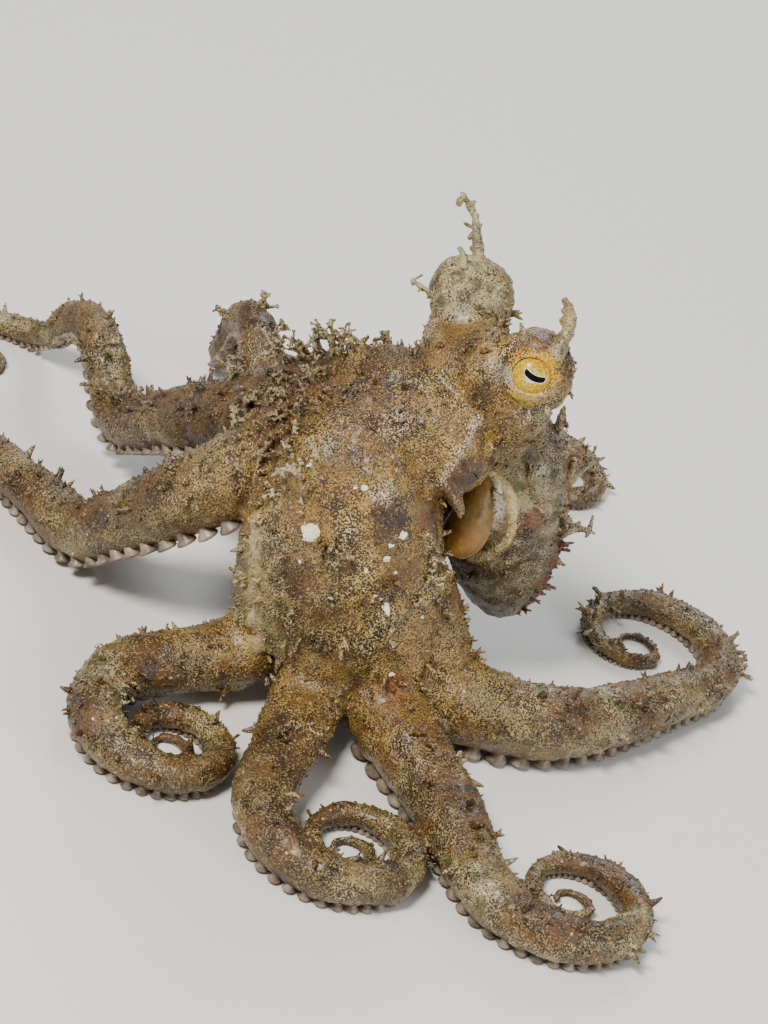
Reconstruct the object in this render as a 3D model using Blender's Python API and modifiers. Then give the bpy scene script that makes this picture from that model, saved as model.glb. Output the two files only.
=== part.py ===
"""An algae octopus at life size, sitting on a level floor with its head raised.

The octopus faces -Y and its own left side is +X. The mantle hangs down behind the head,
eight arms fall from the crown to the floor, and the three right-hand arms trail away to -X.
Suckers that touch the floor end in small flats at z = 0.
Sizes are in metres. They are written as millimetres times MM.
"""

import math
import random

import bmesh
import bpy
from mathutils import Matrix, Vector
from mathutils.bvhtree import BVHTree

MM = 0.001
UP = Vector((0.0, 0.0, 1.0))

# The gap that touching solids keep, and the point of the floor that lies under the middle of the eyes
GAP = 0.3 * MM
BED_GAP = 1.4 * GAP
UNDER_EYES = Vector((17.5, -6.4, 0.0)) * MM

# Cutters reach this far past the body, and rays start this far out from it
CUTTER_SIZE = 200.0 * MM
RAY_START = 60.0 * MM

# Eyes: the left one looks at the photograph's camera, the right one out to its own side
EYE_HEIGHT = 65.0 * MM
EYE_HALF_SPAN = 9.0 * MM
RIGHT_EYE_RISE = 1.6 * MM
TURRET_RADIUS = 6.6 * MM
EYEBALL_RADIUS = 4.7 * MM
EYEBALL_FORWARD = 2.5 * MM
TURRET_SWELL = 1.4 * MM
EYE_OPENING = (3.0 * MM, 2.8 * MM)
OPENING_FLARE = 1.12
OPENING_START = 4.8 * MM
OPENING_DEPTH = 6.0 * MM
LID_FORWARD = 6.75 * MM
LID_THICKNESS = 0.6 * MM
LEFT_GAZE = Vector((0.72, -0.56, 0.40)).normalized()
RIGHT_GAZE = Vector((-0.92, -0.18, 0.16)).normalized()

# Head and crown: the skin's grain before it is thinned, and the level of the cut between them
SKIN_GRAIN = 1.3 * MM
SKIN_SHARE_KEPT = 0.064
HEAD_PARTING = (Vector((0.0, -6.0, 50.5)) * MM, Vector((0.0, 0.6, 0.8)).normalized())
BELL_CENTRE = Vector((0.0, -16.0, 24.0)) * MM
BELL_RADII = Vector((17.0, 15.3, 32.0)) * MM
BELL_LEAN = math.radians(10.0)
WEB_THICKNESS = 3.6 * MM
WEB_EDGE_HEIGHT = 12.0 * MM

# Mantle: an egg hung from the neck, leaning back by this angle from the upright
MANTLE_HALF_LENGTH = 23.5 * MM
MANTLE_HALF_WIDTH = 11.3 * MM
MANTLE_HALF_DEPTH = 10.5 * MM
MANTLE_CENTRE = Vector((0.0, 13.0, 32.0)) * MM
MANTLE_LEAN = math.radians(21.0)
MANTLE_POINT = 0.16

# Funnel: a short tube that comes out between the neck and the mantle on the left side and hangs down
FUNNEL_ROOT = Vector((3.5, 3.0, 41.5)) * MM
FUNNEL_BEND = Vector((8.9, 0.3, 40.2)) * MM
FUNNEL_MOUTH = Vector((7.7, -1.1, 30.8)) * MM
FUNNEL_RADIUS = 3.5 * MM
FUNNEL_WALL = 0.8 * MM
FUNNEL_STEPS = 12
BORE_FROM = 5

# Arms: radius at the crown and at the tip, and how it falls along the length
ARM_RADIUS = 8.2 * MM
TIP_RADIUS = 0.5 * MM
TAPER = 1.15
CROWN_CENTRE = Vector((0.0, -11.0, 0.0)) * MM
CROWN_REACH = 40.0 * MM
ROOT_OVERLAP = 9.0 * MM
ROOT_SWELL = 0.25 * MM
TRIM_LENGTH = 16.0 * MM
TRIM_MARGIN = 0.8 * MM
RESTING_HEIGHT = 1.18
FALL_EASE = 10.0 * MM
CURL_TIGHTEST = 1.8 * MM
PATH_STEP = 0.5 * MM
RING_SPACING = 4.6 * MM
END_RING = 1.2 * MM
LENGTH_NAMES = ("near", "middle", "tip")
PARTINGS = (0.0, 0.33, 0.64)

# One row for each arm. heading: compass angle from +X at the crown. root: height of its start.
# fall: steepest slope on the way down. bends: (from, to, degrees turned to the left), in mm along the arm.
# curl: (from, side it turns to, growth of its radius for each mm from the tip).
# arch: (middle, span, height) of a raised loop, in mm. roll: degrees that the suckers turn to the right.
ARMS = {
    "arm_l1": dict(heading=-98, root=45, length=152, fall=0.93, bends=[], curl=(58, 1, 0.135),
                   arch=None, roll=-30),
    "arm_l2": dict(heading=-48, root=41, length=150, fall=0.93, bends=[], curl=(60, 1, 0.15),
                   arch=None, roll=0),
    "arm_l3": dict(heading=-4, root=30, length=148, fall=0.90, bends=[(38, 62, -10)], curl=(62, 1, 0.175),
                   arch=None, roll=0),
    "arm_l4": dict(heading=36, root=24, length=158, fall=0.80, bends=[(16, 60, 64)], curl=(78, 1, 0.2),
                   arch=None, roll=0),
    "arm_r4": dict(heading=134, root=24, length=158, fall=0.80, bends=[(40, 76, -14)], curl=(92, -1, 0.2),
                   arch=None, roll=0),
    "arm_r3": dict(heading=160, root=40, length=166, fall=0.66, bends=[(40, 80, 4)], curl=(108, -1, 0.2),
                   arch=(94, 52, 15), roll=0),
    "arm_r2": dict(heading=188, root=52, length=168, fall=0.56, bends=[(40, 75, -14)], curl=(112, 1, 0.2),
                   arch=(96, 50, 12), roll=0),
    "arm_r1": dict(heading=228, root=50, length=162, fall=0.68, bends=[(24, 62, -42)], curl=(88, 1, 0.18),
                   arch=None, roll=0),
}

# Suckers: two rows of cups. Sizes are shares of the arm's radius
SUCKERS_PER_ROW = 9
SUCKER_SIDES = 5
SUCKER_RADIUS = 0.34
SUCKER_SIDEWAYS = 0.43
SUCKER_NECK = 0.72
SUCKER_MOUTH = 0.6
SUCKER_DEPTH = 0.45
SUCKER_TAPER = 0.62
CLEAR_OF_PARTING = 0.5 * MM
NEARLY_LEVEL = 0.97
LANDING_HEIGHT = 0.9 * MM

# Papillae: skin spikes. Share of their length that is sunk, and how wide and how bent they are
SUNK = 0.6 * MM
SPIKE_RADIUS = 0.145
SPIKE_BEND = 0.22
HORNS = (
    ("head", (-8.2, 1.0, 60.0), (0.0, 0.02, 1.0), (-0.40, -0.29, 0.87), 11.6, 4),
    ("head", (9.2, 0.4, 60.0), (0.16, 0.14, 1.0), (-0.16, -0.09, 0.98), 7.6, 3),
    ("head", (9.0, 0.0, 65.0), (-0.45, -0.50, 0.70), (-0.30, -0.45, 0.84), 2.6, 0),
    ("head", (9.0, 0.0, 65.0), (0.62, 0.62, 0.20), (0.60, 0.70, 0.40), 2.4, 0),
    ("head", (-9.0, 0.0, 67.0), (0.05, -0.98, 0.10), (-0.40, -0.80, 0.45), 4.2, 2),
    ("head", (-9.0, 0.0, 67.0), (0.25, -0.66, 0.74), (0.05, -0.45, 0.85), 3.0, 0),
    ("mantle", (0.0, 9.0, 48.0), (0.55, 0.78, 0.25), (0.50, 0.70, 0.52), 5.4, 1),
    ("mantle", (0.0, 11.0, 41.0), (0.55, 0.78, 0.10), (0.55, 0.78, 0.28), 5.8, 3),
    ("mantle", (0.0, 13.0, 36.0), (0.55, 0.78, 0.0), (0.60, 0.78, 0.05), 2.4, 0),
    ("mantle", (0.0, 14.0, 32.0), (0.55, 0.78, 0.0), (0.55, 0.80, 0.10), 3.0, 0),
    ("mantle", (0.0, 16.0, 26.0), (0.55, 0.78, 0.0), (0.60, 0.78, 0.20), 5.0, 3),
    ("mantle", (0.0, 18.0, 20.0), (0.55, 0.78, -0.1), (0.55, 0.80, -0.10), 2.8, 0),
    ("mantle", (0.0, 12.0, 40.0), (-0.25, 0.95, 0.10), (-0.20, 0.90, 0.35), 4.2, 1),
    ("mantle", (0.0, 15.0, 30.0), (-0.60, 0.78, 0.0), (-0.60, 0.75, 0.20), 3.6, 1),
    ("mantle", (0.0, 14.0, 34.0), (-0.98, 0.15, 0.0), (-0.90, 0.10, 0.30), 3.0, 0),
    ("mantle", (0.0, 16.0, 24.0), (0.98, 0.15, 0.0), (0.90, 0.10, 0.30), 2.6, 0),
    ("crown", (-14.0, -14.0, 38.0), (-0.15, 0.0, 1.0), (-0.30, -0.10, 0.95), 5.6, 3),
    ("crown", (-20.0, -13.0, 34.0), (-0.15, 0.0, 1.0), (-0.45, -0.10, 0.88), 6.0, 3),
    ("crown", (-8.0, -16.0, 42.0), (-0.10, -0.10, 1.0), (-0.25, -0.30, 0.92), 4.6, 2),
    ("crown", (0.0, -16.0, 34.0), (0.05, -0.90, 0.60), (0.05, -0.80, 0.60), 3.2, 0),
    ("crown", (0.0, -16.0, 30.0), (0.60, -0.70, 0.30), (0.62, -0.60, 0.50), 2.6, 0),
    ("crown", (0.0, -16.0, 28.0), (-0.40, -0.85, 0.20), (-0.45, -0.75, 0.50), 3.4, 1),
)
ARM_SPIKES_FROM = 6.0 * MM
ARM_SPIKES_TO = 0.72
ARM_SPIKE_SPACING = 22.0 * MM


def smoothstep(t):
    """Rises from 0 to 1 with level ends."""
    t = min(max(t, 0.0), 1.0)
    return t * t * (3.0 - 2.0 * t)


def arm_radius(arm, along):
    """The arm's radius at a distance along its centreline."""
    left = max(0.0, 1.0 - along / (arm["length"] * MM))
    return TIP_RADIUS + (ARM_RADIUS - TIP_RADIUS) * left**TAPER


def arm_heading(arm, along):
    """The compass direction of the centreline, in radians."""
    angle = math.radians(arm["heading"])
    for start, end, turn in arm["bends"]:
        angle += math.radians(turn) * smoothstep((along / MM - start) / (end - start))
    start, side, growth = arm["curl"]
    if along > start * MM:
        length = arm["length"] * MM
        widest = growth * (length - start * MM) + CURL_TIGHTEST
        now = growth * (length - along) + CURL_TIGHTEST
        angle += side / growth * math.log(widest / now)
    return angle


def arm_path(arm):
    """Points of the centreline every PATH_STEP, from the crown to the tip."""
    length = arm["length"] * MM
    drop = arm["root"] * MM - RESTING_HEIGHT * ARM_RADIUS
    fall_length = drop / arm["fall"] + FALL_EASE
    heading = arm_heading(arm, 0.0)
    place = CROWN_CENTRE + 2.0 * MM * Vector((math.cos(heading), math.sin(heading), 0.0))
    place.z = arm["root"] * MM
    points = [place.copy()]
    for step in range(1, int(length / PATH_STEP) + 1):
        along = step * PATH_STEP
        into = min(along, fall_length - along)
        slope = arm["fall"] * min(max(into / FALL_EASE, 0.0), 1.0)
        drop = max(drop - slope * PATH_STEP, 0.0) if along < fall_length else 0.0
        height = RESTING_HEIGHT * arm_radius(arm, along) + drop
        if arm["arch"]:
            middle, span, rise = (value * MM for value in arm["arch"])
            off = abs(along - middle) / span
            height += rise * math.cos(math.pi * off) ** 2 if off < 0.5 else 0.0
        climb = height - place.z
        level = math.sqrt(max(PATH_STEP**2 - climb**2, (0.15 * PATH_STEP) ** 2))
        heading = arm_heading(arm, along)
        place = place + level * Vector((math.cos(heading), math.sin(heading), 0.0))
        place.z = height
        points.append(place.copy())
    return points


def arm_frame(arm, points, along):
    """Point, tangent, direction of the suckers and direction to the arm's side at a distance."""
    spot = min(max(along / PATH_STEP, 0.0), len(points) - 1.001)
    index = int(spot)
    point = points[index].lerp(points[index + 1], spot - index)
    before, after = points[max(index - 2, 0)], points[min(index + 3, len(points) - 1)]
    tangent = (after - before).normalized()
    down = (-UP + UP.dot(tangent) * tangent).normalized()
    share = 1.0 - min(abs(along - CROWN_REACH - 8.0 * MM) / (22.0 * MM), 1.0)
    roll = math.radians(arm["roll"]) * smoothstep(share)
    down = Matrix.Rotation(roll, 3, tangent) @ down
    return point, tangent, down, tangent.cross(down)


def clear_scene():
    for obj in list(bpy.data.objects):
        bpy.data.objects.remove(obj)


def collection_named(name, shown=True):
    made = bpy.data.collections.new(name)
    made.hide_render = not shown
    bpy.context.scene.collection.children.link(made)
    return made


def add_object(name, mesh, collection):
    obj = bpy.data.objects.new(name, mesh)
    collection.objects.link(obj)
    return obj


def mesh_from(bm, name):
    """Turns the faces outwards and stores them."""
    if bm.calc_volume(signed=True) < 0.0:
        bmesh.ops.reverse_faces(bm, faces=bm.faces)
    mesh = bpy.data.meshes.new(name)
    bm.to_mesh(mesh)
    bm.free()
    return mesh


def ball(centre, radii, turn=0.0, point=0.0, sides=24, rings=14):
    """An ellipsoid leaning back about X. point narrows its lower end."""
    bm = bmesh.new()
    bmesh.ops.create_uvsphere(bm, u_segments=sides, v_segments=rings, radius=1.0)
    for vert in bm.verts:
        narrow = 1.0 + point * vert.co.z
        vert.co = Vector((vert.co.x * radii[0] * narrow, vert.co.y * radii[1] * narrow, vert.co.z * radii[2]))
    lean = Matrix.Translation(centre) @ Matrix.Rotation(turn, 4, "X")
    bmesh.ops.transform(bm, matrix=lean, verts=bm.verts)
    return mesh_from(bm, "ball")


def tube(points, radii, resolution=2):
    """A closed tapered tube along points, made from a curve with filled caps."""
    curve = bpy.data.curves.new("tube", "CURVE")
    curve.dimensions = "3D"
    curve.bevel_depth = MM
    curve.bevel_resolution = resolution
    curve.use_fill_caps = True
    spline = curve.splines.new("POLY")
    spline.points.add(len(points) - 1)
    for spot, point, radius in zip(spline.points, points, radii):
        spot.co = (*point, 1.0)
        spot.radius = radius / MM
    obj = bpy.data.objects.new("tube", curve)
    bpy.context.scene.collection.objects.link(obj)
    bpy.context.view_layer.update()
    mesh = bpy.data.meshes.new_from_object(obj.evaluated_get(bpy.context.evaluated_depsgraph_get()))
    bpy.data.objects.remove(obj)
    bm = bmesh.new()
    bm.from_mesh(mesh)
    bmesh.ops.remove_doubles(bm, verts=bm.verts, dist=0.005 * MM)
    bmesh.ops.recalc_face_normals(bm, faces=bm.faces)
    return mesh_from(bm, "tube")


def eye_turn(gaze):
    """Turns Z to the gaze and keeps X level."""
    level = UP.cross(gaze).normalized()
    return Matrix((level, gaze.cross(level), gaze)).transposed()


def lid_ring(centre, gaze, sides=14, ring_sides=5):
    """The raised rim of the eye's opening."""
    turn = eye_turn(gaze)
    bm = bmesh.new()
    rows = []
    for step in range(sides):
        angle = 2.0 * math.pi * step / sides
        spot = Vector((EYE_OPENING[0] * math.cos(angle), EYE_OPENING[1] * math.sin(angle), 0.0))
        outward = spot.normalized()
        middle = spot + outward * LID_THICKNESS * 0.9
        row = []
        for part in range(ring_sides):
            lean = 2.0 * math.pi * part / ring_sides
            offset = outward * math.cos(lean) + Vector((0.0, 0.0, math.sin(lean)))
            place = middle + offset * LID_THICKNESS + Vector((0.0, 0.0, LID_FORWARD))
            row.append(bm.verts.new(centre + turn @ place))
        rows.append(row)
    for step in range(sides):
        here, after = rows[step], rows[(step + 1) % sides]
        for part in range(ring_sides):
            other = (part + 1) % ring_sides
            bm.faces.new((here[part], after[part], after[other], here[other]))
    bmesh.ops.recalc_face_normals(bm, faces=bm.faces)
    return mesh_from(bm, "lid")


def socket(centre, gaze):
    """What is cut out for the eyeball: a ball with the lids' opening in front of it."""
    turn = eye_turn(gaze)
    hollow = ball(centre + gaze * EYEBALL_FORWARD, (EYEBALL_RADIUS + BED_GAP,) * 3, sides=20, rings=12)
    obj = bpy.data.objects.new("socket", hollow)
    bpy.context.scene.collection.objects.link(obj)
    bm = bmesh.new()
    bmesh.ops.create_cone(bm, segments=18, radius1=1.0, radius2=OPENING_FLARE, depth=1.0, cap_ends=True)
    for vert in bm.verts:
        depth = OPENING_START + (vert.co.z + 0.5) * OPENING_DEPTH
        place = Vector((vert.co.x * EYE_OPENING[0], vert.co.y * EYE_OPENING[1], depth))
        vert.co = centre + turn @ place
    bmesh.ops.recalc_face_normals(bm, faces=bm.faces)
    joined(obj, [mesh_from(bm, "opening")])
    mesh = obj.data
    bpy.data.objects.remove(obj)
    return mesh


def fleshy_cone(base, direction, length, radius, bend, sides=5):
    """A tapering skin spike that bends over. base is its sunken root."""
    bm = bmesh.new()
    rings = ((0.0, 1.0), (0.55, 0.66))
    rows = []
    for height, width in rings:
        row = []
        for part in range(sides):
            angle = 2.0 * math.pi * part / sides
            spot = Vector((math.cos(angle), math.sin(angle), 0.0)) * width * radius
            row.append(bm.verts.new(spot + Vector((0.0, 0.0, height * length))))
        rows.append(row)
    tip = bm.verts.new((0.0, 0.0, length))
    bm.faces.new(rows[0][::-1])
    for part in range(sides):
        other = (part + 1) % sides
        bm.faces.new((rows[0][part], rows[0][other], rows[1][other], rows[1][part]))
        bm.faces.new((rows[1][part], rows[1][other], tip))
    turn = direction.to_track_quat("Z", "Y").to_matrix()
    for vert in bm.verts:
        share = vert.co.z / length
        vert.co = base + turn @ vert.co + bend * share**2
    return mesh_from(bm, "spike")


def papilla(spot, direction, length, side_spikes, rng):
    """A spike with smaller ones up its sides. spot is where it leaves the skin."""
    across = direction.orthogonal().normalized()
    across = Matrix.Rotation(rng.uniform(0.0, 2.0 * math.pi), 3, direction) @ across
    bend = across * SPIKE_BEND * length
    root = spot - direction * SUNK
    whole = length + SUNK
    radius = SPIKE_RADIUS * length + 0.35 * MM
    meshes = [fleshy_cone(root, direction, whole, radius, bend)]
    for step in range(side_spikes):
        share = (SUNK + length * (0.2 + 0.5 * step / max(side_spikes - 1, 1))) / whole
        turn = Matrix.Rotation(2.4 * step + rng.uniform(-0.3, 0.3), 3, direction)
        outward = (turn @ across + direction * 0.7).normalized()
        base = root + direction * whole * share + bend * share**2 - outward * 0.1 * radius
        reach = radius + length * rng.uniform(0.16, 0.24)
        meshes.append(fleshy_cone(base, outward, reach, 0.5 * radius, direction * 0.2 * reach, 4))
    return meshes


def sucker(point, down, side, radius):
    """One cup. point is the middle of its rim, radius its outer one."""
    bm = bmesh.new()
    rings = ((0.0, 1.0), (0.0, SUCKER_MOUTH))
    rows = []
    root_depth = 1.7 * radius
    for depth, width in ((root_depth, SUCKER_NECK), *rings):
        row = []
        for part in range(SUCKER_SIDES):
            angle = 2.0 * math.pi * part / SUCKER_SIDES
            spot = (side * math.cos(angle) + side.cross(down) * math.sin(angle)) * width * radius
            row.append(bm.verts.new(point + spot - down * depth))
        rows.append(row)
    pit = bm.verts.new(point - down * SUCKER_DEPTH * radius)
    bm.faces.new(rows[0])
    for part in range(SUCKER_SIDES):
        other = (part + 1) % SUCKER_SIDES
        bm.faces.new((rows[0][part], rows[0][other], rows[1][other], rows[1][part]))
        bm.faces.new((rows[1][part], rows[1][other], rows[2][other], rows[2][part]))
        bm.faces.new((rows[2][part], rows[2][other], pit))
    bmesh.ops.recalc_face_normals(bm, faces=bm.faces)
    return mesh_from(bm, "sucker")


def apply_modifiers(obj):
    """Puts what the modifiers make into the object's own mesh."""
    bpy.context.view_layer.update()
    graph = bpy.context.evaluated_depsgraph_get()
    mesh = bpy.data.meshes.new_from_object(obj.evaluated_get(graph))
    obj.modifiers.clear()
    obj.data = mesh


def joined(target, meshes):
    """Joins closed meshes to the object with one Boolean union and keeps the largest closed surface."""
    if meshes:
        pieces = bpy.data.collections.new("pieces")
        for mesh in meshes:
            pieces.objects.link(bpy.data.objects.new("piece", mesh))
        union = target.modifiers.new("joined", "BOOLEAN")
        union.operation = "UNION"
        union.solver = "MANIFOLD"
        union.operand_type = "COLLECTION"
        union.collection = pieces
        apply_modifiers(target)
        for piece in list(pieces.objects):
            bpy.data.objects.remove(piece)
        bpy.data.collections.remove(pieces)
    keep_largest(target)


def cut(target, meshes):
    """Cuts closed meshes out of the object, one after another."""
    for mesh in meshes:
        cutter = bpy.data.objects.new("cutter", mesh)
        cutter.hide_render = True
        cutter.display_type = "WIRE"
        bpy.context.scene.collection.objects.link(cutter)
        difference = target.modifiers.new("cut", "BOOLEAN")
        difference.operation = "DIFFERENCE"
        difference.solver = "MANIFOLD"
        difference.object = cutter
        apply_modifiers(target)
        bpy.data.objects.remove(cutter)


def closed_surfaces(bm):
    """The mesh's separate surfaces, each as a list of its vertices."""
    left, found = set(bm.verts), []
    while left:
        start = left.pop()
        group, waiting = [start], [start]
        while waiting:
            vert = waiting.pop()
            for edge in vert.link_edges:
                other = edge.other_vert(vert)
                if other in left:
                    left.discard(other)
                    group.append(other)
                    waiting.append(other)
        found.append(group)
    return found


def keep_largest(obj):
    """Leaves only the largest closed surface, so that the node is one body."""
    bm = bmesh.new()
    bm.from_mesh(obj.data)
    groups = closed_surfaces(bm)
    largest = max(groups, key=len)
    for group in groups:
        if group is not largest:
            bmesh.ops.delete(bm, geom=group, context="VERTS")
    bm.to_mesh(obj.data)
    bm.free()


def split_by_plane(obj, point, normal, collection, upper_name, lower_name):
    """Parts the object with a thin flat cut and returns the upper and the lower object."""
    slab = bmesh.new()
    bmesh.ops.create_cube(slab, size=1.0)
    turn = normal.to_track_quat("Z", "Y").to_matrix()
    for vert in slab.verts:
        vert.co = point + turn @ Vector((vert.co.x * CUTTER_SIZE, vert.co.y * CUTTER_SIZE, vert.co.z * GAP))
    cut(obj, [mesh_from(slab, "slab")])
    parts = []
    for name, side in ((upper_name, 1.0), (lower_name, -1.0)):
        bm = bmesh.new()
        bm.from_mesh(obj.data)
        unwanted = [vert for vert in bm.verts if (vert.co - point).dot(normal) * side < 0.0]
        bmesh.ops.delete(bm, geom=unwanted, context="VERTS")
        parts.append(add_object(name, mesh_from(bm, name), collection))
        keep_largest(parts[-1])
    bpy.data.objects.remove(obj)
    return parts


def swollen(obj, by):
    """A copy of the object's mesh pushed out along its normals, to cut a neighbour clear of it."""
    mesh = obj.data.copy()
    bm = bmesh.new()
    bm.from_mesh(mesh)
    bm.normal_update()
    moves = [(vert, vert.normal.copy()) for vert in bm.verts]
    for vert, normal in moves:
        vert.co += normal * by
    bm.to_mesh(mesh)
    bm.free()
    return mesh


def eye_centres():
    left = Vector((EYE_HALF_SPAN, 0.0, EYE_HEIGHT))
    right = Vector((-EYE_HALF_SPAN, 0.5 * MM, EYE_HEIGHT + RIGHT_EYE_RISE))
    return {"left": (left, LEFT_GAZE), "right": (right, RIGHT_GAZE)}


def body_balls():
    """Centre and radii of the masses that make the head and the neck."""
    masses = (
        ((0.0, -2.5, 57.0), (10.0, 9.5, 10.0)),
        ((0.0, -8.0, 50.0), (12.5, 11.0, 11.0)),
        ((0.0, 4.0, 50.0), (8.8, 8.4, 10.0)),
        ((7.0, -0.5, 59.5), (6.8, 6.9, 9.0)),
        ((-7.0, 0.0, 60.3), (6.6, 6.7, 9.5)),
    )
    return [(Vector(centre) * MM, Vector(radii) * MM) for centre, radii in masses]


def crown_bell():
    """The web and the flesh between the arm roots: a bell that is open below."""
    bell = ball(BELL_CENTRE, BELL_RADII, BELL_LEAN)
    inner = BELL_RADII - Vector((1.0, 1.0, 4.0)) * WEB_THICKNESS
    hollow = ball(BELL_CENTRE - UP * 3.0 * WEB_THICKNESS, inner, BELL_LEAN)
    below = bmesh.new()
    bmesh.ops.create_cube(below, size=1.0)
    for vert in below.verts:
        vert.co = BELL_CENTRE + vert.co * CUTTER_SIZE
        vert.co.z += WEB_EDGE_HEIGHT - 0.5 * CUTTER_SIZE - BELL_CENTRE.z
    obj = bpy.data.objects.new("bell", bell)
    bpy.context.scene.collection.objects.link(obj)
    cut(obj, [hollow, mesh_from(below, "below")])
    mesh = obj.data
    bpy.data.objects.remove(obj)
    return mesh


def root_tubes():
    """The first stretch of each arm, which the crown holds."""
    meshes = []
    for arm in ARMS.values():
        points = arm_path(arm)
        stops = [(CROWN_REACH + ROOT_OVERLAP) * step / 12 for step in range(13)]
        spots = [arm_frame(arm, points, along)[0] for along in stops]
        meshes.append(tube(spots, [arm_radius(arm, along) + ROOT_SWELL for along in stops], 3))
    return meshes


def square_block(arm, points, along, back, ahead, margin):
    """A block square to the arm's centreline, from a distance behind a point of it to one ahead."""
    point, tangent, down, side = arm_frame(arm, points, along)
    half = 1.25 * arm_radius(arm, along) + margin
    bm = bmesh.new()
    bmesh.ops.create_cube(bm, size=1.0)
    for vert in bm.verts:
        away = ahead if vert.co.z > 0 else -back
        vert.co = point + tangent * away + side * vert.co.x * 2 * half + down * vert.co.y * 2 * half
    bmesh.ops.recalc_face_normals(bm, faces=bm.faces)
    return mesh_from(bm, "block")


def root_trims():
    """Blocks that end each arm root square to its centreline, face to face with the arm."""
    meshes = []
    for arm in ARMS.values():
        points = arm_path(arm)
        meshes.append(square_block(arm, points, CROWN_REACH, 0.5 * GAP, TRIM_LENGTH, TRIM_MARGIN))
    return meshes


def make_front(collection):
    """Head and crown as one smooth mass, with the eye sockets and the lids."""
    first, *others = body_balls()
    front = add_object("front", ball(*first), collection)
    meshes = [ball(centre, radii) for centre, radii in others]
    for centre, gaze in eye_centres().values():
        meshes.append(ball(centre, (TURRET_RADIUS,) * 3))
        meshes.append(ball(centre + gaze * TURRET_SWELL, (0.95 * TURRET_RADIUS,) * 3))
    meshes.append(crown_bell())
    meshes += root_tubes()
    joined(front, meshes)
    remesh = front.modifiers.new("skin", "REMESH")
    remesh.mode = "VOXEL"
    remesh.voxel_size = SKIN_GRAIN
    smooth = front.modifiers.new("soften", "SMOOTH")
    smooth.factor = 0.5
    smooth.iterations = 4
    thin = front.modifiers.new("fewer", "DECIMATE")
    thin.ratio = SKIN_SHARE_KEPT
    apply_modifiers(front)
    keep_largest(front)
    joined(front, [lid_ring(centre, gaze) for centre, gaze in eye_centres().values()])
    cut(front, [socket(centre, gaze) for centre, gaze in eye_centres().values()] + root_trims())
    keep_largest(front)
    return front


def funnel_width(t):
    """The funnel's radius: a neck, then a soft round lobe and a drawn-in mouth."""
    swell = 0.94 - 0.10 * smoothstep(2.5 * t) + 0.18 * smoothstep((t - 0.4) / 0.35)
    return FUNNEL_RADIUS * (swell - 0.42 * max((t - 0.8) / 0.2, 0.0) ** 2)


def funnel_line():
    """Points and radii of the funnel from the mantle's opening to its mouth."""
    points, radii = [], []
    for step in range(FUNNEL_STEPS + 1):
        t = step / FUNNEL_STEPS
        point = FUNNEL_ROOT * (1 - t) ** 2 + FUNNEL_BEND * 2 * t * (1 - t) + FUNNEL_MOUTH * t**2
        points.append(point)
        radii.append(funnel_width(t))
    return points, radii


def funnel_bed():
    """The funnel's outside and the gap round it, to cut a bed for it into the body."""
    points, radii = funnel_line()
    behind = points[0] - (points[1] - points[0]).normalized() * 2.0 * GAP
    ahead = points[-1] + (points[-1] - points[-2]).normalized() * FUNNEL_RADIUS
    wide = [radius + BED_GAP for radius in radii]
    return tube([behind, *points, ahead], [wide[0], *wide, 0.8 * wide[-1]], 3)


def make_mantle(front, collection):
    """The sac behind the head."""
    radii = (MANTLE_HALF_WIDTH, MANTLE_HALF_DEPTH, MANTLE_HALF_LENGTH)
    egg = ball(MANTLE_CENTRE, radii, MANTLE_LEAN, MANTLE_POINT, sides=24, rings=16)
    mantle = add_object("mantle", egg, collection)
    cut(mantle, [swollen(front, GAP), funnel_bed()])
    keep_largest(mantle)
    return mantle


def make_funnel(collection):
    """The open tube through which the octopus breathes out and swims."""
    points, radii = funnel_line()
    funnel = add_object("funnel", tube(points, radii, 3), collection)
    ahead = points[-1] + (points[-1] - points[-2]) * 1.5
    bore_radii = [radius - FUNNEL_WALL for radius in radii[BORE_FROM:]] + [radii[-1] - 0.6 * FUNNEL_WALL]
    cut(funnel, [tube(points[BORE_FROM:] + [ahead], bore_radii, 3)])
    keep_largest(funnel)
    return funnel


def make_eyes(collection):
    eyes = {}
    for side, (centre, gaze) in eye_centres().items():
        mesh = ball(centre + gaze * EYEBALL_FORWARD, (EYEBALL_RADIUS,) * 3, sides=16, rings=10)
        eyes[side] = add_object("eye_" + side, mesh, collection)
    return eyes


def arm_suckers(arm, points, start, end):
    """The cups of one length of the arm. Their spacing shrinks with the arm to its tip."""
    free = arm["length"] * MM - CROWN_REACH
    meshes = []
    for step in range(SUCKERS_PER_ROW):
        for row in (-1.0, 1.0):
            share = (step + 0.5 + 0.25 * row) / SUCKERS_PER_ROW
            along = CROWN_REACH + free * (1.0 - (1.0 - share) ** (1.0 / SUCKER_TAPER) * 0.99)
            radius = arm_radius(arm, along)
            size = SUCKER_RADIUS * radius + 0.12 * MM
            clear = size + CLEAR_OF_PARTING
            if start + clear < along < (end - clear if end < arm["length"] * MM - MM else end - 0.5 * MM):
                point, tangent, down, side = arm_frame(arm, points, along)
                rim = point + down * RESTING_HEIGHT * radius + side * row * SUCKER_SIDEWAYS * radius
                if -down.z > NEARLY_LEVEL and rim.z < LANDING_HEIGHT:
                    rim.z, down = 0.0, -UP
                    side = UP.cross(tangent).normalized()
                lowest = rim.z - size * math.sqrt(max(1.0 - down.z**2, 0.0))
                rim.z -= min(lowest, 0.0)
                meshes.append(sucker(rim, down, side, size))
    return meshes


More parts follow.
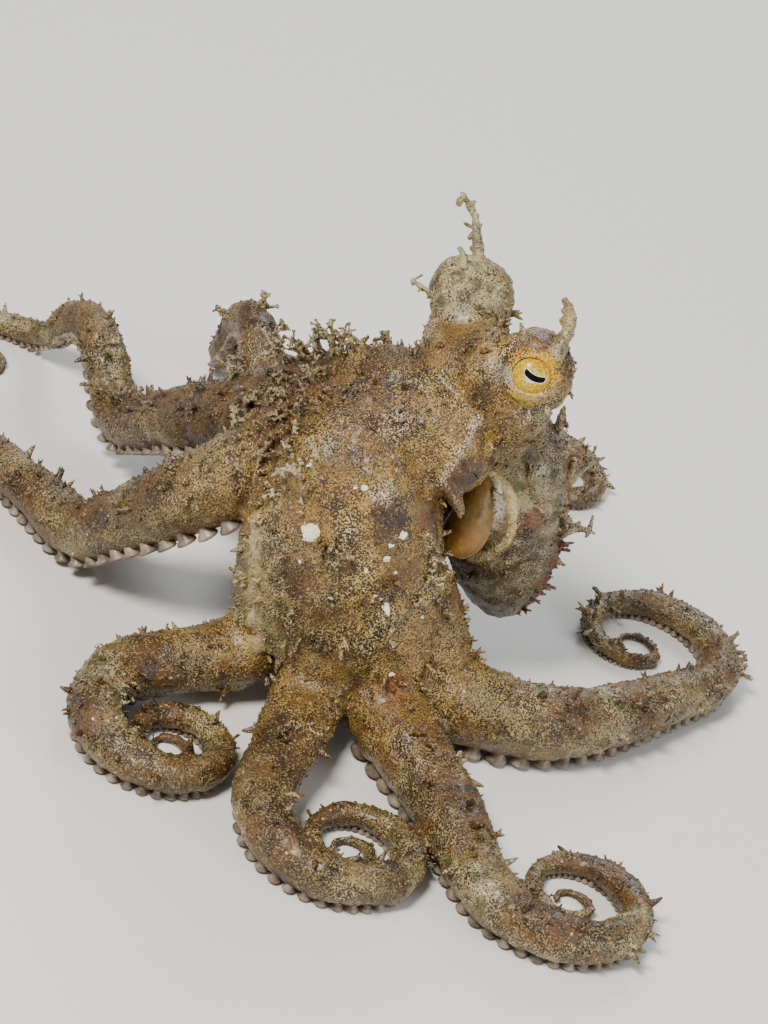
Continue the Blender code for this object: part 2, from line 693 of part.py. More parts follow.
def arm_spikes(name, arm, points, start, end):
    """Skin spikes along the top of one length of the arm."""
    rng = random.Random(name)
    meshes = []
    stop = ARM_SPIKES_TO * arm["length"] * MM
    count = int((stop - CROWN_REACH) / ARM_SPIKE_SPACING)
    for step in range(count):
        along = CROWN_REACH + ARM_SPIKES_FROM + step * ARM_SPIKE_SPACING + rng.uniform(-2.0, 2.0) * MM
        size = rng.uniform(2.2, 4.2) * MM
        lean = math.radians(rng.uniform(-38.0, 38.0))
        if start + 0.5 * size < along < end - 0.5 * size:
            point, tangent, down, _ = arm_frame(arm, points, along)
            outward = Matrix.Rotation(lean, 3, tangent) @ -down
            direction = (outward + tangent * 0.35).normalized()
            spot = point + outward * arm_radius(arm, along) * 0.95
            meshes += papilla(spot, direction, size, step % 2, rng)
    return meshes


def make_arm(name, arm, collection):
    """One arm in lengths that meet face to face, square to its centreline."""
    points = arm_path(arm)
    free = arm["length"] * MM - CROWN_REACH
    edges = [CROWN_REACH + free * share for share in PARTINGS] + [arm["length"] * MM]
    nodes = []
    for length_name, start, end in zip(LENGTH_NAMES, edges, edges[1:]):
        last = length_name == LENGTH_NAMES[-1]
        count = math.ceil((end - start) / RING_SPACING * (1.5 if last else 1.0))
        stops = [start + (end - start) * step / count for step in range(1, count)]
        spots, radii = [], []
        point, tangent, _, _ = arm_frame(arm, points, start)
        for ahead in (0.5 * GAP, END_RING):
            spots.append(point + tangent * ahead)
            radii.append(arm_radius(arm, start + ahead))
        for along in stops:
            spots.append(arm_frame(arm, points, along)[0])
            radii.append(arm_radius(arm, along))
        point, tangent, _, _ = arm_frame(arm, points, end)
        for behind in (END_RING, 0.5 * GAP):
            spots.append(point - tangent * behind)
            radii.append(arm_radius(arm, end - behind))
        node = add_object(f"{name}_{length_name}", tube(spots, radii), collection)
        joined(node, arm_suckers(arm, points, start, end) + arm_spikes(name, arm, points, start, end))
        nodes.append(node)
    return nodes


def skin_spot(obj, inside, direction):
    """Where a ray from outside towards a point inside first meets the skin."""
    bm = bmesh.new()
    bm.from_mesh(obj.data)
    tree = BVHTree.FromBMesh(bm)
    bm.free()
    hit, *_ = tree.ray_cast(inside + direction * RAY_START, -direction)
    return hit


def add_horns(nodes):
    """The named papillae of the head, the mantle and the crown."""
    rng = random.Random(11)
    meshes = {name: [] for name in nodes}
    for name, inside, towards, lean, length, side_spikes in HORNS:
        spot = skin_spot(nodes[name], Vector(inside) * MM, Vector(towards).normalized())
        meshes[name] += papilla(spot, Vector(lean).normalized(), length * MM, side_spikes, rng)
    for name, node in nodes.items():
        joined(node, meshes[name])


def paint(obj, colour, roughness):
    material = bpy.data.materials.get(obj.name) or bpy.data.materials.new(obj.name)
    material.use_nodes = True
    shader = material.node_tree.nodes["Principled BSDF"]
    shader.inputs["Base Color"].default_value = (*colour, 1.0)
    shader.inputs["Roughness"].default_value = roughness
    shader.inputs["Metallic"].default_value = 0.0
    obj.data.materials.clear()
    obj.data.materials.append(material)


def main():
    clear_scene()
    octopus = collection_named("octopus")
    front = make_front(octopus)
    mantle = make_mantle(front, octopus)
    cut(front, [funnel_bed()])
    funnel = make_funnel(octopus)
    head, crown = split_by_plane(front, *HEAD_PARTING, octopus, "head", "crown")
    add_horns({"head": head, "mantle": mantle, "crown": crown})
    eyes = make_eyes(octopus)
    for name, arm in ARMS.items():
        for node in make_arm(name, arm, octopus):
            paint(node, (0.30, 0.22, 0.13), 0.55)
    for node in (head, crown, mantle):
        paint(node, (0.34, 0.26, 0.16), 0.55)
    paint(funnel, (0.55, 0.33, 0.10), 0.4)
    for node in eyes.values():
        paint(node, (0.75, 0.55, 0.18), 0.15)
    for obj in octopus.objects:
        obj.location = UNDER_EYES


main()
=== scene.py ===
"""An algae octopus on a pale floor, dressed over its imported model.

The octopus faces -Y, its own left side is +X, and it rests on z = 0. Lengths are in millimetres
times MM, in the octopus's own frame, which UNDER_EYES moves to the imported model's.
"""

import math

import bpy
import numpy as np
from mathutils import Matrix, Vector, noise
from mathutils.bvhtree import BVHTree
from mathutils.kdtree import KDTree


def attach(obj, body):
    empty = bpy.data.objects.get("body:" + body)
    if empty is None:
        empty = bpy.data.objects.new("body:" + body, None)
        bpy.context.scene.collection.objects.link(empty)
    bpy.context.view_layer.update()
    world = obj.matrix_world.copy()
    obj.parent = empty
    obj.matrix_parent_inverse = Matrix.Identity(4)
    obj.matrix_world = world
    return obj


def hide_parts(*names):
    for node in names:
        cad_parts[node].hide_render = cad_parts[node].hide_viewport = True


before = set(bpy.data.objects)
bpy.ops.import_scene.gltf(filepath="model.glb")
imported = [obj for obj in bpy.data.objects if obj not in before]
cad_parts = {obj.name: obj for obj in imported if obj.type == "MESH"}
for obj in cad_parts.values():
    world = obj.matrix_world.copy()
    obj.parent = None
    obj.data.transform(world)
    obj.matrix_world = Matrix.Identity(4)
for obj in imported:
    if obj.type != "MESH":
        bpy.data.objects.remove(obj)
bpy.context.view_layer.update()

# The arms. Muscle all through, thick at the crown and tapering evenly to a curled tip.
# Each centreline is walked step by step from its heading, its fall to the floor, its bends,
# its raised loop and its closing spiral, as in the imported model.
MM = 0.001
UP = Vector((0.0, 0.0, 1.0))
UNDER_EYES = Vector((17.5, -6.4, 0.0)) * MM
ARM_RADIUS = 8.2 * MM
TIP_RADIUS = 0.5 * MM
TAPER = 1.15
CROWN_CENTRE = Vector((0.0, -11.0, 0.0)) * MM
CROWN_REACH = 40.0 * MM
RESTING_HEIGHT = 1.18
FALL_EASE = 10.0 * MM
CURL_TIGHTEST = 1.8 * MM
PATH_STEP = 0.5 * MM

# The photograph's right, upward and nearer directions, for places that were measured in it
PHOTO_RIGHT = Vector((0.551, 0.778, 0.302))
PHOTO_UP = Vector((-0.554, 0.070, 0.830))
PHOTO_NEAR = Vector((0.624, -0.624, 0.469))
ARMS = {
    "arm_l1": dict(heading=-98, root=45, length=152, fall=0.93, bends=[], curl=(58, 1, 0.135),
                   arch=None, roll=-30),
    "arm_l2": dict(heading=-48, root=41, length=150, fall=0.93, bends=[], curl=(60, 1, 0.15),
                   arch=None, roll=0),
    "arm_l3": dict(heading=-4, root=30, length=148, fall=0.90, bends=[(38, 62, -10)], curl=(62, 1, 0.175),
                   arch=None, roll=0),
    "arm_l4": dict(heading=36, root=24, length=158, fall=0.80, bends=[(16, 60, 64)], curl=(78, 1, 0.2),
                   arch=None, roll=0),
    "arm_r4": dict(heading=134, root=24, length=158, fall=0.80, bends=[(40, 76, -14)], curl=(92, -1, 0.2),
                   arch=None, roll=0),
    "arm_r3": dict(heading=160, root=40, length=166, fall=0.66, bends=[(40, 80, 4)], curl=(108, -1, 0.2),
                   arch=(94, 52, 15), roll=0),
    "arm_r2": dict(heading=188, root=52, length=168, fall=0.56, bends=[(40, 75, -14)], curl=(112, 1, 0.2),
                   arch=(96, 50, 12), roll=0),
    "arm_r1": dict(heading=228, root=50, length=162, fall=0.68, bends=[(24, 62, -42)], curl=(88, 1, 0.18),
                   arch=None, roll=0),
}


def smoothstep(t):
    t = min(max(t, 0.0), 1.0)
    return t * t * (3.0 - 2.0 * t)


def arm_radius(arm, along):
    left = max(0.0, 1.0 - along / (arm["length"] * MM))
    return TIP_RADIUS + (ARM_RADIUS - TIP_RADIUS) * left**TAPER


def arm_heading(arm, along):
    angle = math.radians(arm["heading"])
    for start, end, turn in arm["bends"]:
        angle += math.radians(turn) * smoothstep((along / MM - start) / (end - start))
    start, side, growth = arm["curl"]
    if along > start * MM:
        length = arm["length"] * MM
        widest = growth * (length - start * MM) + CURL_TIGHTEST
        now = growth * (length - along) + CURL_TIGHTEST
        angle += side / growth * math.log(widest / now)
    return angle


def arm_path(arm):
    """Points of the centreline every PATH_STEP, from the crown to the tip."""
    length = arm["length"] * MM
    drop = arm["root"] * MM - RESTING_HEIGHT * ARM_RADIUS
    fall_length = drop / arm["fall"] + FALL_EASE
    heading = arm_heading(arm, 0.0)
    place = CROWN_CENTRE + 2.0 * MM * Vector((math.cos(heading), math.sin(heading), 0.0))
    place.z = arm["root"] * MM
    points = [place.copy()]
    for step in range(1, int(length / PATH_STEP) + 1):
        along = step * PATH_STEP
        into = min(along, fall_length - along)
        slope = arm["fall"] * min(max(into / FALL_EASE, 0.0), 1.0)
        drop = max(drop - slope * PATH_STEP, 0.0) if along < fall_length else 0.0
        height = RESTING_HEIGHT * arm_radius(arm, along) + drop
        if arm["arch"]:
            middle, span, rise = (value * MM for value in arm["arch"])
            off = abs(along - middle) / span
            height += rise * math.cos(math.pi * off) ** 2 if off < 0.5 else 0.0
        climb = height - place.z
        level = math.sqrt(max(PATH_STEP**2 - climb**2, (0.15 * PATH_STEP) ** 2))
        heading = arm_heading(arm, along)
        place = place + level * Vector((math.cos(heading), math.sin(heading), 0.0))
        place.z = height
        points.append(place.copy())
    return points


def arm_frame(arm, points, along):
    """Point, tangent, direction of the suckers and direction to the arm's side at a distance."""
    spot = min(max(along / PATH_STEP, 0.0), len(points) - 1.001)
    index = int(spot)
    point = points[index].lerp(points[index + 1], spot - index)
    before, after = points[max(index - 2, 0)], points[min(index + 3, len(points) - 1)]
    tangent = (after - before).normalized()
    down = (-UP + UP.dot(tangent) * tangent).normalized()
    share = 1.0 - min(abs(along - CROWN_REACH - 8.0 * MM) / (22.0 * MM), 1.0)
    down = Matrix.Rotation(math.radians(arm["roll"]) * smoothstep(share), 3, tangent) @ down
    return point, tangent, down, tangent.cross(down)


paths = {name: arm_path(arm) for name, arm in ARMS.items()}


def nothing_selected():
    bpy.ops.object.select_all(action="DESELECT")


def pick(obj):
    """Makes an object the only one selected, and the active one."""
    nothing_selected()
    obj.select_set(True)
    bpy.context.view_layer.objects.active = obj


def apply_modifier(obj, kind, **settings):
    change = obj.modifiers.new("change", kind)
    for name, value in settings.items():
        setattr(change, name, value)
    pick(obj)
    bpy.ops.object.modifier_apply(modifier="change")


def apply_boolean(target, other, operation):
    """Cuts or adds another closed piece, which is used up."""
    apply_modifier(target, "BOOLEAN", operation=operation, solver="MANIFOLD", object=other)
    bpy.data.objects.remove(other)


def thin_out(obj, limit):
    """Brings a piece down to a number of triangles."""
    triangles = sum(len(face.vertices) - 2 for face in obj.data.polygons)
    apply_modifier(obj, "DECIMATE", ratio=min(1.0, limit / triangles))


def add_tubes(stems, sides):
    """Closed round tubes along lines of points with their radii, from one curve with filled caps."""
    nothing_selected()
    bpy.ops.curve.primitive_bezier_curve_add(location=(0.0, 0.0, 0.0))
    obj = bpy.context.object
    curve = obj.data
    curve.splines.clear()
    curve.dimensions = "3D"
    curve.bevel_depth = MM
    curve.bevel_resolution = (sides - 4) // 2
    curve.use_fill_caps = True
    for points, radii in stems:
        spline = curve.splines.new("POLY")
        spline.points.add(len(points) - 1)
        for spot, point, radius in zip(spline.points, points, radii):
            spot.co = (*point, 1.0)
            spot.radius = radius / MM
    bpy.ops.object.convert(target="MESH")
    obj = bpy.context.object
    bpy.ops.object.mode_set(mode="EDIT")
    bpy.ops.mesh.select_all(action="SELECT")
    bpy.ops.mesh.remove_doubles(threshold=0.004 * MM)
    bpy.ops.mesh.normals_make_consistent(inside=False)
    bpy.ops.object.mode_set(mode="OBJECT")
    return obj


def add_tube(points, radii, sides):
    return add_tubes([(points, radii)], sides)


flesh = []
for arm_name, arm in ARMS.items():
    stops = np.arange(0.0, arm["length"] * MM, 1.25 * MM)
    spots = [arm_frame(arm, paths[arm_name], along)[0] for along in stops]
    swell = [1.0 + 0.035 * noise.noise(Vector((0.0, arm["heading"], along / (5.0 * MM)))) for along in stops]
    radii = [arm_radius(arm, along) * grown for along, grown in zip(stops, swell)]
    flesh.append(add_tube(spots, radii, 20))

# The head, the crown and the web. One soft mass: two raised eye turrets on a broad head,
# a neck behind, and a bell of web in front that joins the arms' roots and is open below.
EYE_HEIGHT = 65.0 * MM
EYE_HALF_SPAN = 9.0 * MM
RIGHT_EYE_RISE = 1.6 * MM
TURRET_RADIUS = 6.6 * MM
LEFT_GAZE = Vector((0.72, -0.56, 0.40)).normalized()
RIGHT_GAZE = Vector((-0.92, -0.18, 0.16)).normalized()
EYES = {
    "left": (Vector((EYE_HALF_SPAN, 0.0, EYE_HEIGHT)), LEFT_GAZE),
    "right": (Vector((-EYE_HALF_SPAN, 0.5 * MM, EYE_HEIGHT + RIGHT_EYE_RISE)), RIGHT_GAZE),
}
EYE_BULGE = (1.8 * MM, 5.5 * MM)
HEAD_MASSES = (
    ((0.0, -2.5, 57.0), (10.0, 9.5, 10.0)),
    ((0.0, -8.0, 50.0), (12.5, 11.0, 11.0)),
    ((0.0, 4.0, 50.0), (8.8, 8.4, 10.0)),
    ((7.0, -0.5, 59.5), (6.8, 6.9, 9.0)),
    ((-7.0, 0.0, 60.3), (6.6, 6.7, 9.5)),
    ((5.0, -5.0, 61.5), (5.8, 4.6, 6.6)),
)
BELL_CENTRE = Vector((0.0, -16.0, 24.0)) * MM
BELL_RADII = Vector((17.0, 15.3, 32.0)) * MM
BELL_LEAN = math.radians(10.0)
WEB_THICKNESS = 3.6 * MM
WEB_EDGE_HEIGHT = 12.0 * MM


def add_ball(centre, radii, lean=0.0, pinch=0.0):
    """An ellipsoid that leans back about X. pinch narrows its lower end."""
    nothing_selected()
    bpy.ops.mesh.primitive_uv_sphere_add(segments=48, ring_count=28, radius=1.0)
    obj = bpy.context.object
    for vert in obj.data.vertices:
        narrow = 1.0 + pinch * vert.co.z
        vert.co = Vector((vert.co.x * radii[0] * narrow, vert.co.y * radii[1] * narrow, vert.co.z * radii[2]))
    obj.data.transform(Matrix.Translation(centre) @ Matrix.Rotation(lean, 4, "X"))
    return obj


for centre, radii in HEAD_MASSES:
    flesh.append(add_ball(Vector(centre) * MM, Vector(radii) * MM))
for centre, gaze in EYES.values():
    flesh.append(add_ball(centre, (TURRET_RADIUS,) * 3))
    flesh.append(add_ball(centre + gaze * EYE_BULGE[0], (EYE_BULGE[1],) * 3))
bell = add_ball(BELL_CENTRE, BELL_RADII, BELL_LEAN)
inner = BELL_RADII - Vector((1.0, 1.0, 4.0)) * WEB_THICKNESS
apply_boolean(bell, add_ball(BELL_CENTRE - UP * 3.0 * WEB_THICKNESS, inner, BELL_LEAN), "DIFFERENCE")
nothing_selected()
bpy.ops.mesh.primitive_cube_add(size=0.1, location=(BELL_CENTRE.x, BELL_CENTRE.y, WEB_EDGE_HEIGHT - 0.05))
bpy.ops.object.transform_apply(location=True, rotation=False, scale=False)
apply_boolean(bell, bpy.context.object, "DIFFERENCE")
flesh.append(bell)

# The mantle. A muscular sac that hangs behind the head and comes to a blunt point, hollowed on the
# left where it opens round the neck and the funnel comes out.
MANTLE_RADII = Vector((11.3, 10.5, 23.5)) * MM
MANTLE_CENTRE = Vector((0.0, 13.0, 32.0)) * MM
MANTLE_LEAN = math.radians(21.0)
MANTLE_POINT = 0.16
GAPE_CENTRE = Vector((8.2, 3.3, 36.8)) * MM
GAPE_RADII = Vector((3.6, 5.0, 2.6)) * MM
mantle = add_ball(MANTLE_CENTRE, MANTLE_RADII, MANTLE_LEAN, MANTLE_POINT)
gape = add_ball(Vector(), GAPE_RADII)
photo_turn = Matrix((PHOTO_RIGHT, PHOTO_UP, PHOTO_NEAR)).transposed().to_4x4()
gape.data.transform(Matrix.Translation(GAPE_CENTRE) @ photo_turn)
apply_boolean(mantle, gape, "DIFFERENCE")
flesh.append(mantle)

# The eyelids. Thin soft skin that closes in over the eyeball, with a slight roll at its edge.
# The opening is a little wider than it is high, and lies a little forwards on the ball.
EYEBALL_RADIUS = 4.7 * MM
EYEBALL_FORWARD = 2.5 * MM
EYE_OPENING = (2.42 * MM, 2.18 * MM)
OPENING_SHIFT = 0.5 * MM
LID_THICKNESS = 0.38 * MM
LID_RISE = 0.02 * MM
LID_STEPS = 32


def eye_turn(gaze):
    """Turns Z to the gaze and keeps X level."""
    level = UP.cross(gaze).normalized()
    return Matrix((level, gaze.cross(level), gaze)).transposed()


def lid_line(centre, gaze, out):
    """A closed loop of points on the eyeball, a distance outside the lids' opening."""
    loop = []
    for step in range(LID_STEPS + 1):
        angle = 2.0 * math.pi * step / LID_STEPS
        spot = Vector((EYE_OPENING[0] * math.cos(angle), EYE_OPENING[1] * math.sin(angle), 0.0))
        spot += spot.normalized() * out
        spot.x -= math.copysign(OPENING_SHIFT, gaze.x)
        spot.z = EYEBALL_FORWARD + math.sqrt(EYEBALL_RADIUS**2 - spot.x**2 - spot.y**2) + LID_RISE
        loop.append(centre + eye_turn(gaze) @ spot)
    return loop


for centre, gaze in EYES.values():
    angles = [2.0 * math.pi * step / LID_STEPS for step in range(LID_STEPS + 1)]
    widths = [LID_THICKNESS * (1.0 + 0.5 * max(math.sin(angle), 0.0)) for angle in angles]
    flesh.append(add_tube(lid_line(centre, gaze, 1.1 * LID_THICKNESS), widths, 10))

# The mantle's margin, the collar and the crown's folds. A thin rolled edge runs round the mantle's
# opening, with the pale crescent of the collar inside it, and folds run down beside the crown.
MARGIN = ((5.6, 0.7, 45.4), (7.4, 2.0, 44.2), (9.3, 3.5, 43.2), (10.4, 5.0, 40.7), (10.8, 6.4, 36.4),
          (10.0, 6.6, 32.4), (7.8, 6.1, 29.0), (5.0, 5.8, 26.4))
COLLAR = ((8.0, 2.6, 43.4), (9.2, 3.7, 41.0), (9.4, 4.3, 38.0), (8.6, 4.0, 35.0), (6.8, 3.6, 32.2))
GAPE_FLOOR = ((9.4, 4.6, 39.2), (9.5, 5.1, 36.8), (8.9, 5.1, 34.4))
COLLAR_INNER = ((8.4, 1.6, 42.8), (9.4, 2.4, 40.4), (9.3, 3.0, 37.4), (8.2, 3.0, 34.6))
CROWN_FOLD = ((9.2, -7.4, 57.6), (10.5, -9.0, 55.8), (11.2, -10.5, 53.6), (11.5, -11.6, 51.0),
              (11.3, -12.3, 47.6))
FLAP = ((11.3, -12.2, 47.6), (12.0, -9.8, 45.4), (11.4, -7.2, 42.6), (10.6, -4.8, 39.4))
CREASES = (
    ((10.4, -6.6, 56.0), (11.6, -7.2, 53.0), (12.2, -6.8, 50.2)),
    ((12.0, -4.6, 56.4), (12.6, -4.8, 53.2), (12.4, -4.4, 50.6)),
    ((13.2, -0.8, 58.0), (12.4, 0.4, 54.6), (10.6, 1.6, 51.6)),
    ((11.5, 9.5, 38.5), (11.4, 9.9, 34.0), (10.2, 10.6, 29.0)),
    ((8.6, 5.6, 49.5), (10.2, 6.6, 46.4), (11.0, 7.6, 42.4)),
)
FOLD_STEPS = 25


def smooth_line(stops, count):
    """Points along a Catmull-Rom curve through stops given in mm."""
    stops = [Vector(stop) * MM for stop in stops]
    ends = [2.0 * stops[0] - stops[1], *stops, 2.0 * stops[-1] - stops[-2]]
    line = []
    for step in range(count):
        spot = step / (count - 1) * (len(stops) - 1.0001)
        index, t = int(spot), spot - int(spot)
        a, b, c, d = ends[index:index + 4]
        line.append(0.5 * (2.0 * b + (c - a) * t + (2.0 * a - 5.0 * b + 4.0 * c - d) * t**2
                           + (3.0 * b - a - 3.0 * c + d) * t**3))
    return line


def wandered(spot, reach):
    """A point moved a little each way by noise."""
    shifts = [noise.noise(spot / (1.6 * MM) + Vector((0.0, apart, apart))) for apart in (3.1, 7.4, 12.9)]
    return spot + Vector(shifts) * reach


for stops, width, wander in (
    (MARGIN, 0.45, 0.3), (COLLAR, 1.0, 0.0), (COLLAR_INNER, 0.9, 0.0), (GAPE_FLOOR, 1.25, 0.0),
    (CROWN_FOLD, 0.55, 0.4), (FLAP, 1.1, 0.4), *((stops, 0.45, 0.5) for stops in CREASES),
):
    line = [wandered(spot, wander * MM) for spot in smooth_line(stops, FOLD_STEPS)]
    shares = [step / (FOLD_STEPS - 1) for step in range(FOLD_STEPS)]
    swell = [math.sin(math.pi * (0.08 + 0.84 * share)) ** 0.6 for share in shares]
    swell = [share * (1.0 + wander * noise.noise(spot / (1.1 * MM))) for share, spot in zip(swell, line)]
    flesh.append(add_tube(line, [width * MM * share for share in swell], 10))

# The scalloped edge of the foremost arm. The rims of its outer suckers show as a row of soft lobes
# that runs down the crown's front.
SCALLOPS = ((-3.3, -31.7, 32.5), (-1.4, -31.8, 28.2), (-0.2, -31.5, 24.0), (0.6, -30.5, 18.5),
            (2.6, -28.7, 12.0))
for spot in smooth_line(SCALLOPS, 7):
    flesh.append(add_ball(spot - PHOTO_RIGHT * 0.35 * MM, Vector((0.9, 1.1, 1.75)) * MM))

# The whole skin. The masses above are fused into one surface with no seams, softened,
# then given the folds, patches and grooves of live skin.
SKIN_GRAIN = 0.5 * MM
SKIN_LIMIT = 190000
nothing_selected()
for piece in flesh:
    piece.select_set(True)
bpy.context.view_layer.objects.active = flesh[0]
bpy.ops.object.join()
skin = bpy.context.object
skin.name = "skin"
apply_modifier(skin, "REMESH", mode="VOXEL", voxel_size=SKIN_GRAIN)
apply_modifier(skin, "SMOOTH", factor=0.5, iterations=5)
for centre, gaze in EYES.values():
    turn = eye_turn(gaze).to_4x4()
    cutter = add_ball(centre + gaze * EYEBALL_FORWARD, (EYEBALL_RADIUS + 0.03 * MM,) * 3)
    nothing_selected()
    bpy.ops.mesh.primitive_cone_add(vertices=40, radius1=0.96, radius2=1.5, depth=1.0)
    opening = bpy.context.object
    for vert in opening.data.vertices:
        depth = EYEBALL_FORWARD + 1.0 * MM + (vert.co.z + 0.5) * 6.0 * MM
        middle = -math.copysign(OPENING_SHIFT, gaze.x)
        vert.co = Vector((vert.co.x * EYE_OPENING[0] + middle, vert.co.y * EYE_OPENING[1], depth))
    opening.data.transform(Matrix.Translation(centre) @ turn)
    apply_boolean(cutter, opening, "UNION")
    apply_boolean(skin, cutter, "DIFFERENCE")


def read_points(mesh):
    points = np.empty(len(mesh.vertices) * 3)
    mesh.vertices.foreach_get("co", points)
    return points.reshape(-1, 3)


def read_triangles(mesh):
    mesh.calc_loop_triangles()
    corners = np.empty(len(mesh.loop_triangles) * 3, dtype=int)
    mesh.loop_triangles.foreach_get("vertices", corners)
    return corners.reshape(-1, 3)


def read_normals(mesh):
    """Each point's way out, from the triangles round it, which comes out the same on each run."""
    corners = read_triangles(mesh)
    points = read_points(mesh)
    edges = points[corners[:, 1:]] - points[corners[:, :1]]
    crossed = np.cross(edges[:, 0], edges[:, 1])
    normals = np.zeros_like(points)
    for column in corners.T:
        np.add.at(normals, column, crossed)
    return normals / np.maximum(np.linalg.norm(normals, axis=1), 1e-15)[:, None]


def skin_relief(point):
    """How far the skin stands out at a point: soft folds, then patches parted by grooves."""
    folds = noise.noise(point / (6.5 * MM)) * 0.40
    folds += noise.noise(point / (2.6 * MM)) * 0.28 + noise.noise(point / (1.1 * MM)) * 0.10
    near, second = noise.voronoi(point / (2.1 * MM))[0][:2]
    patch = min((second - near) * 2.2, 1.0)
    return (folds + 0.20 * patch - 0.12) * MM


def lid_wrinkles(point, centre, gaze):
    """Rings of fine wrinkles round an eye's opening."""
    away = point - centre
    out = (away - gaze * away.dot(gaze)).length / MM
    if away.dot(gaze) < 1.5 * MM or not 3.2 < out < 8.0:
        return 0.0
    wave = math.sin(2.0 * math.pi * (out / 1.05 + 0.9 * noise.noise(point / (2.2 * MM))))
    return 0.17 * MM * wave * min((out - 3.2) / 0.8, 1.0) * min((8.0 - out) / 2.0, 1.0)


def line_distance(points, stops):
    """How far each point is from the nearest stretch of a line given in mm."""
    nearest = np.full(len(points), 1.0)
    stops = np.array(stops) * MM
    for start, end in zip(stops, stops[1:]):
        run = end - start
        share = np.clip((points - start) @ run / (run @ run), 0.0, 1.0)
        nearest = np.minimum(nearest, np.linalg.norm(points - start - share[:, None] * run, axis=1))
    return nearest


eye_centres = np.array([centre for centre, _ in EYES.values()])
eye_gazes = np.array([gaze for _, gaze in EYES.values()])
points, normals = read_points(skin.data), read_normals(skin.data)
lid_centres = eye_centres + eye_gazes * EYEBALL_FORWARD
near_eye = np.min(np.linalg.norm(points[:, None] - lid_centres[None], axis=2), axis=1)
calm = np.clip((near_eye - 4.95 * MM) / (1.3 * MM), 0.0, 1.0)
for smooth_skin in (COLLAR, COLLAR_INNER):
    calm *= np.clip((line_distance(points, smooth_skin) - 0.8 * MM) / (1.2 * MM), 0.1, 1.0)
relief = np.array([skin_relief(Vector(point)) for point in points]) * calm
for index in np.nonzero(near_eye < 9.0 * MM)[0]:
    relief[index] += sum(lid_wrinkles(Vector(points[index]), *eye) for eye in EYES.values())
points = points + normals * relief[:, None]
points[:, 2] = np.maximum(points[:, 2], 0.15 * MM)
skin.data.vertices.foreach_set("co", points.ravel())
thin_out(skin, SKIN_LIMIT)
pick(skin)
bpy.ops.object.shade_smooth()

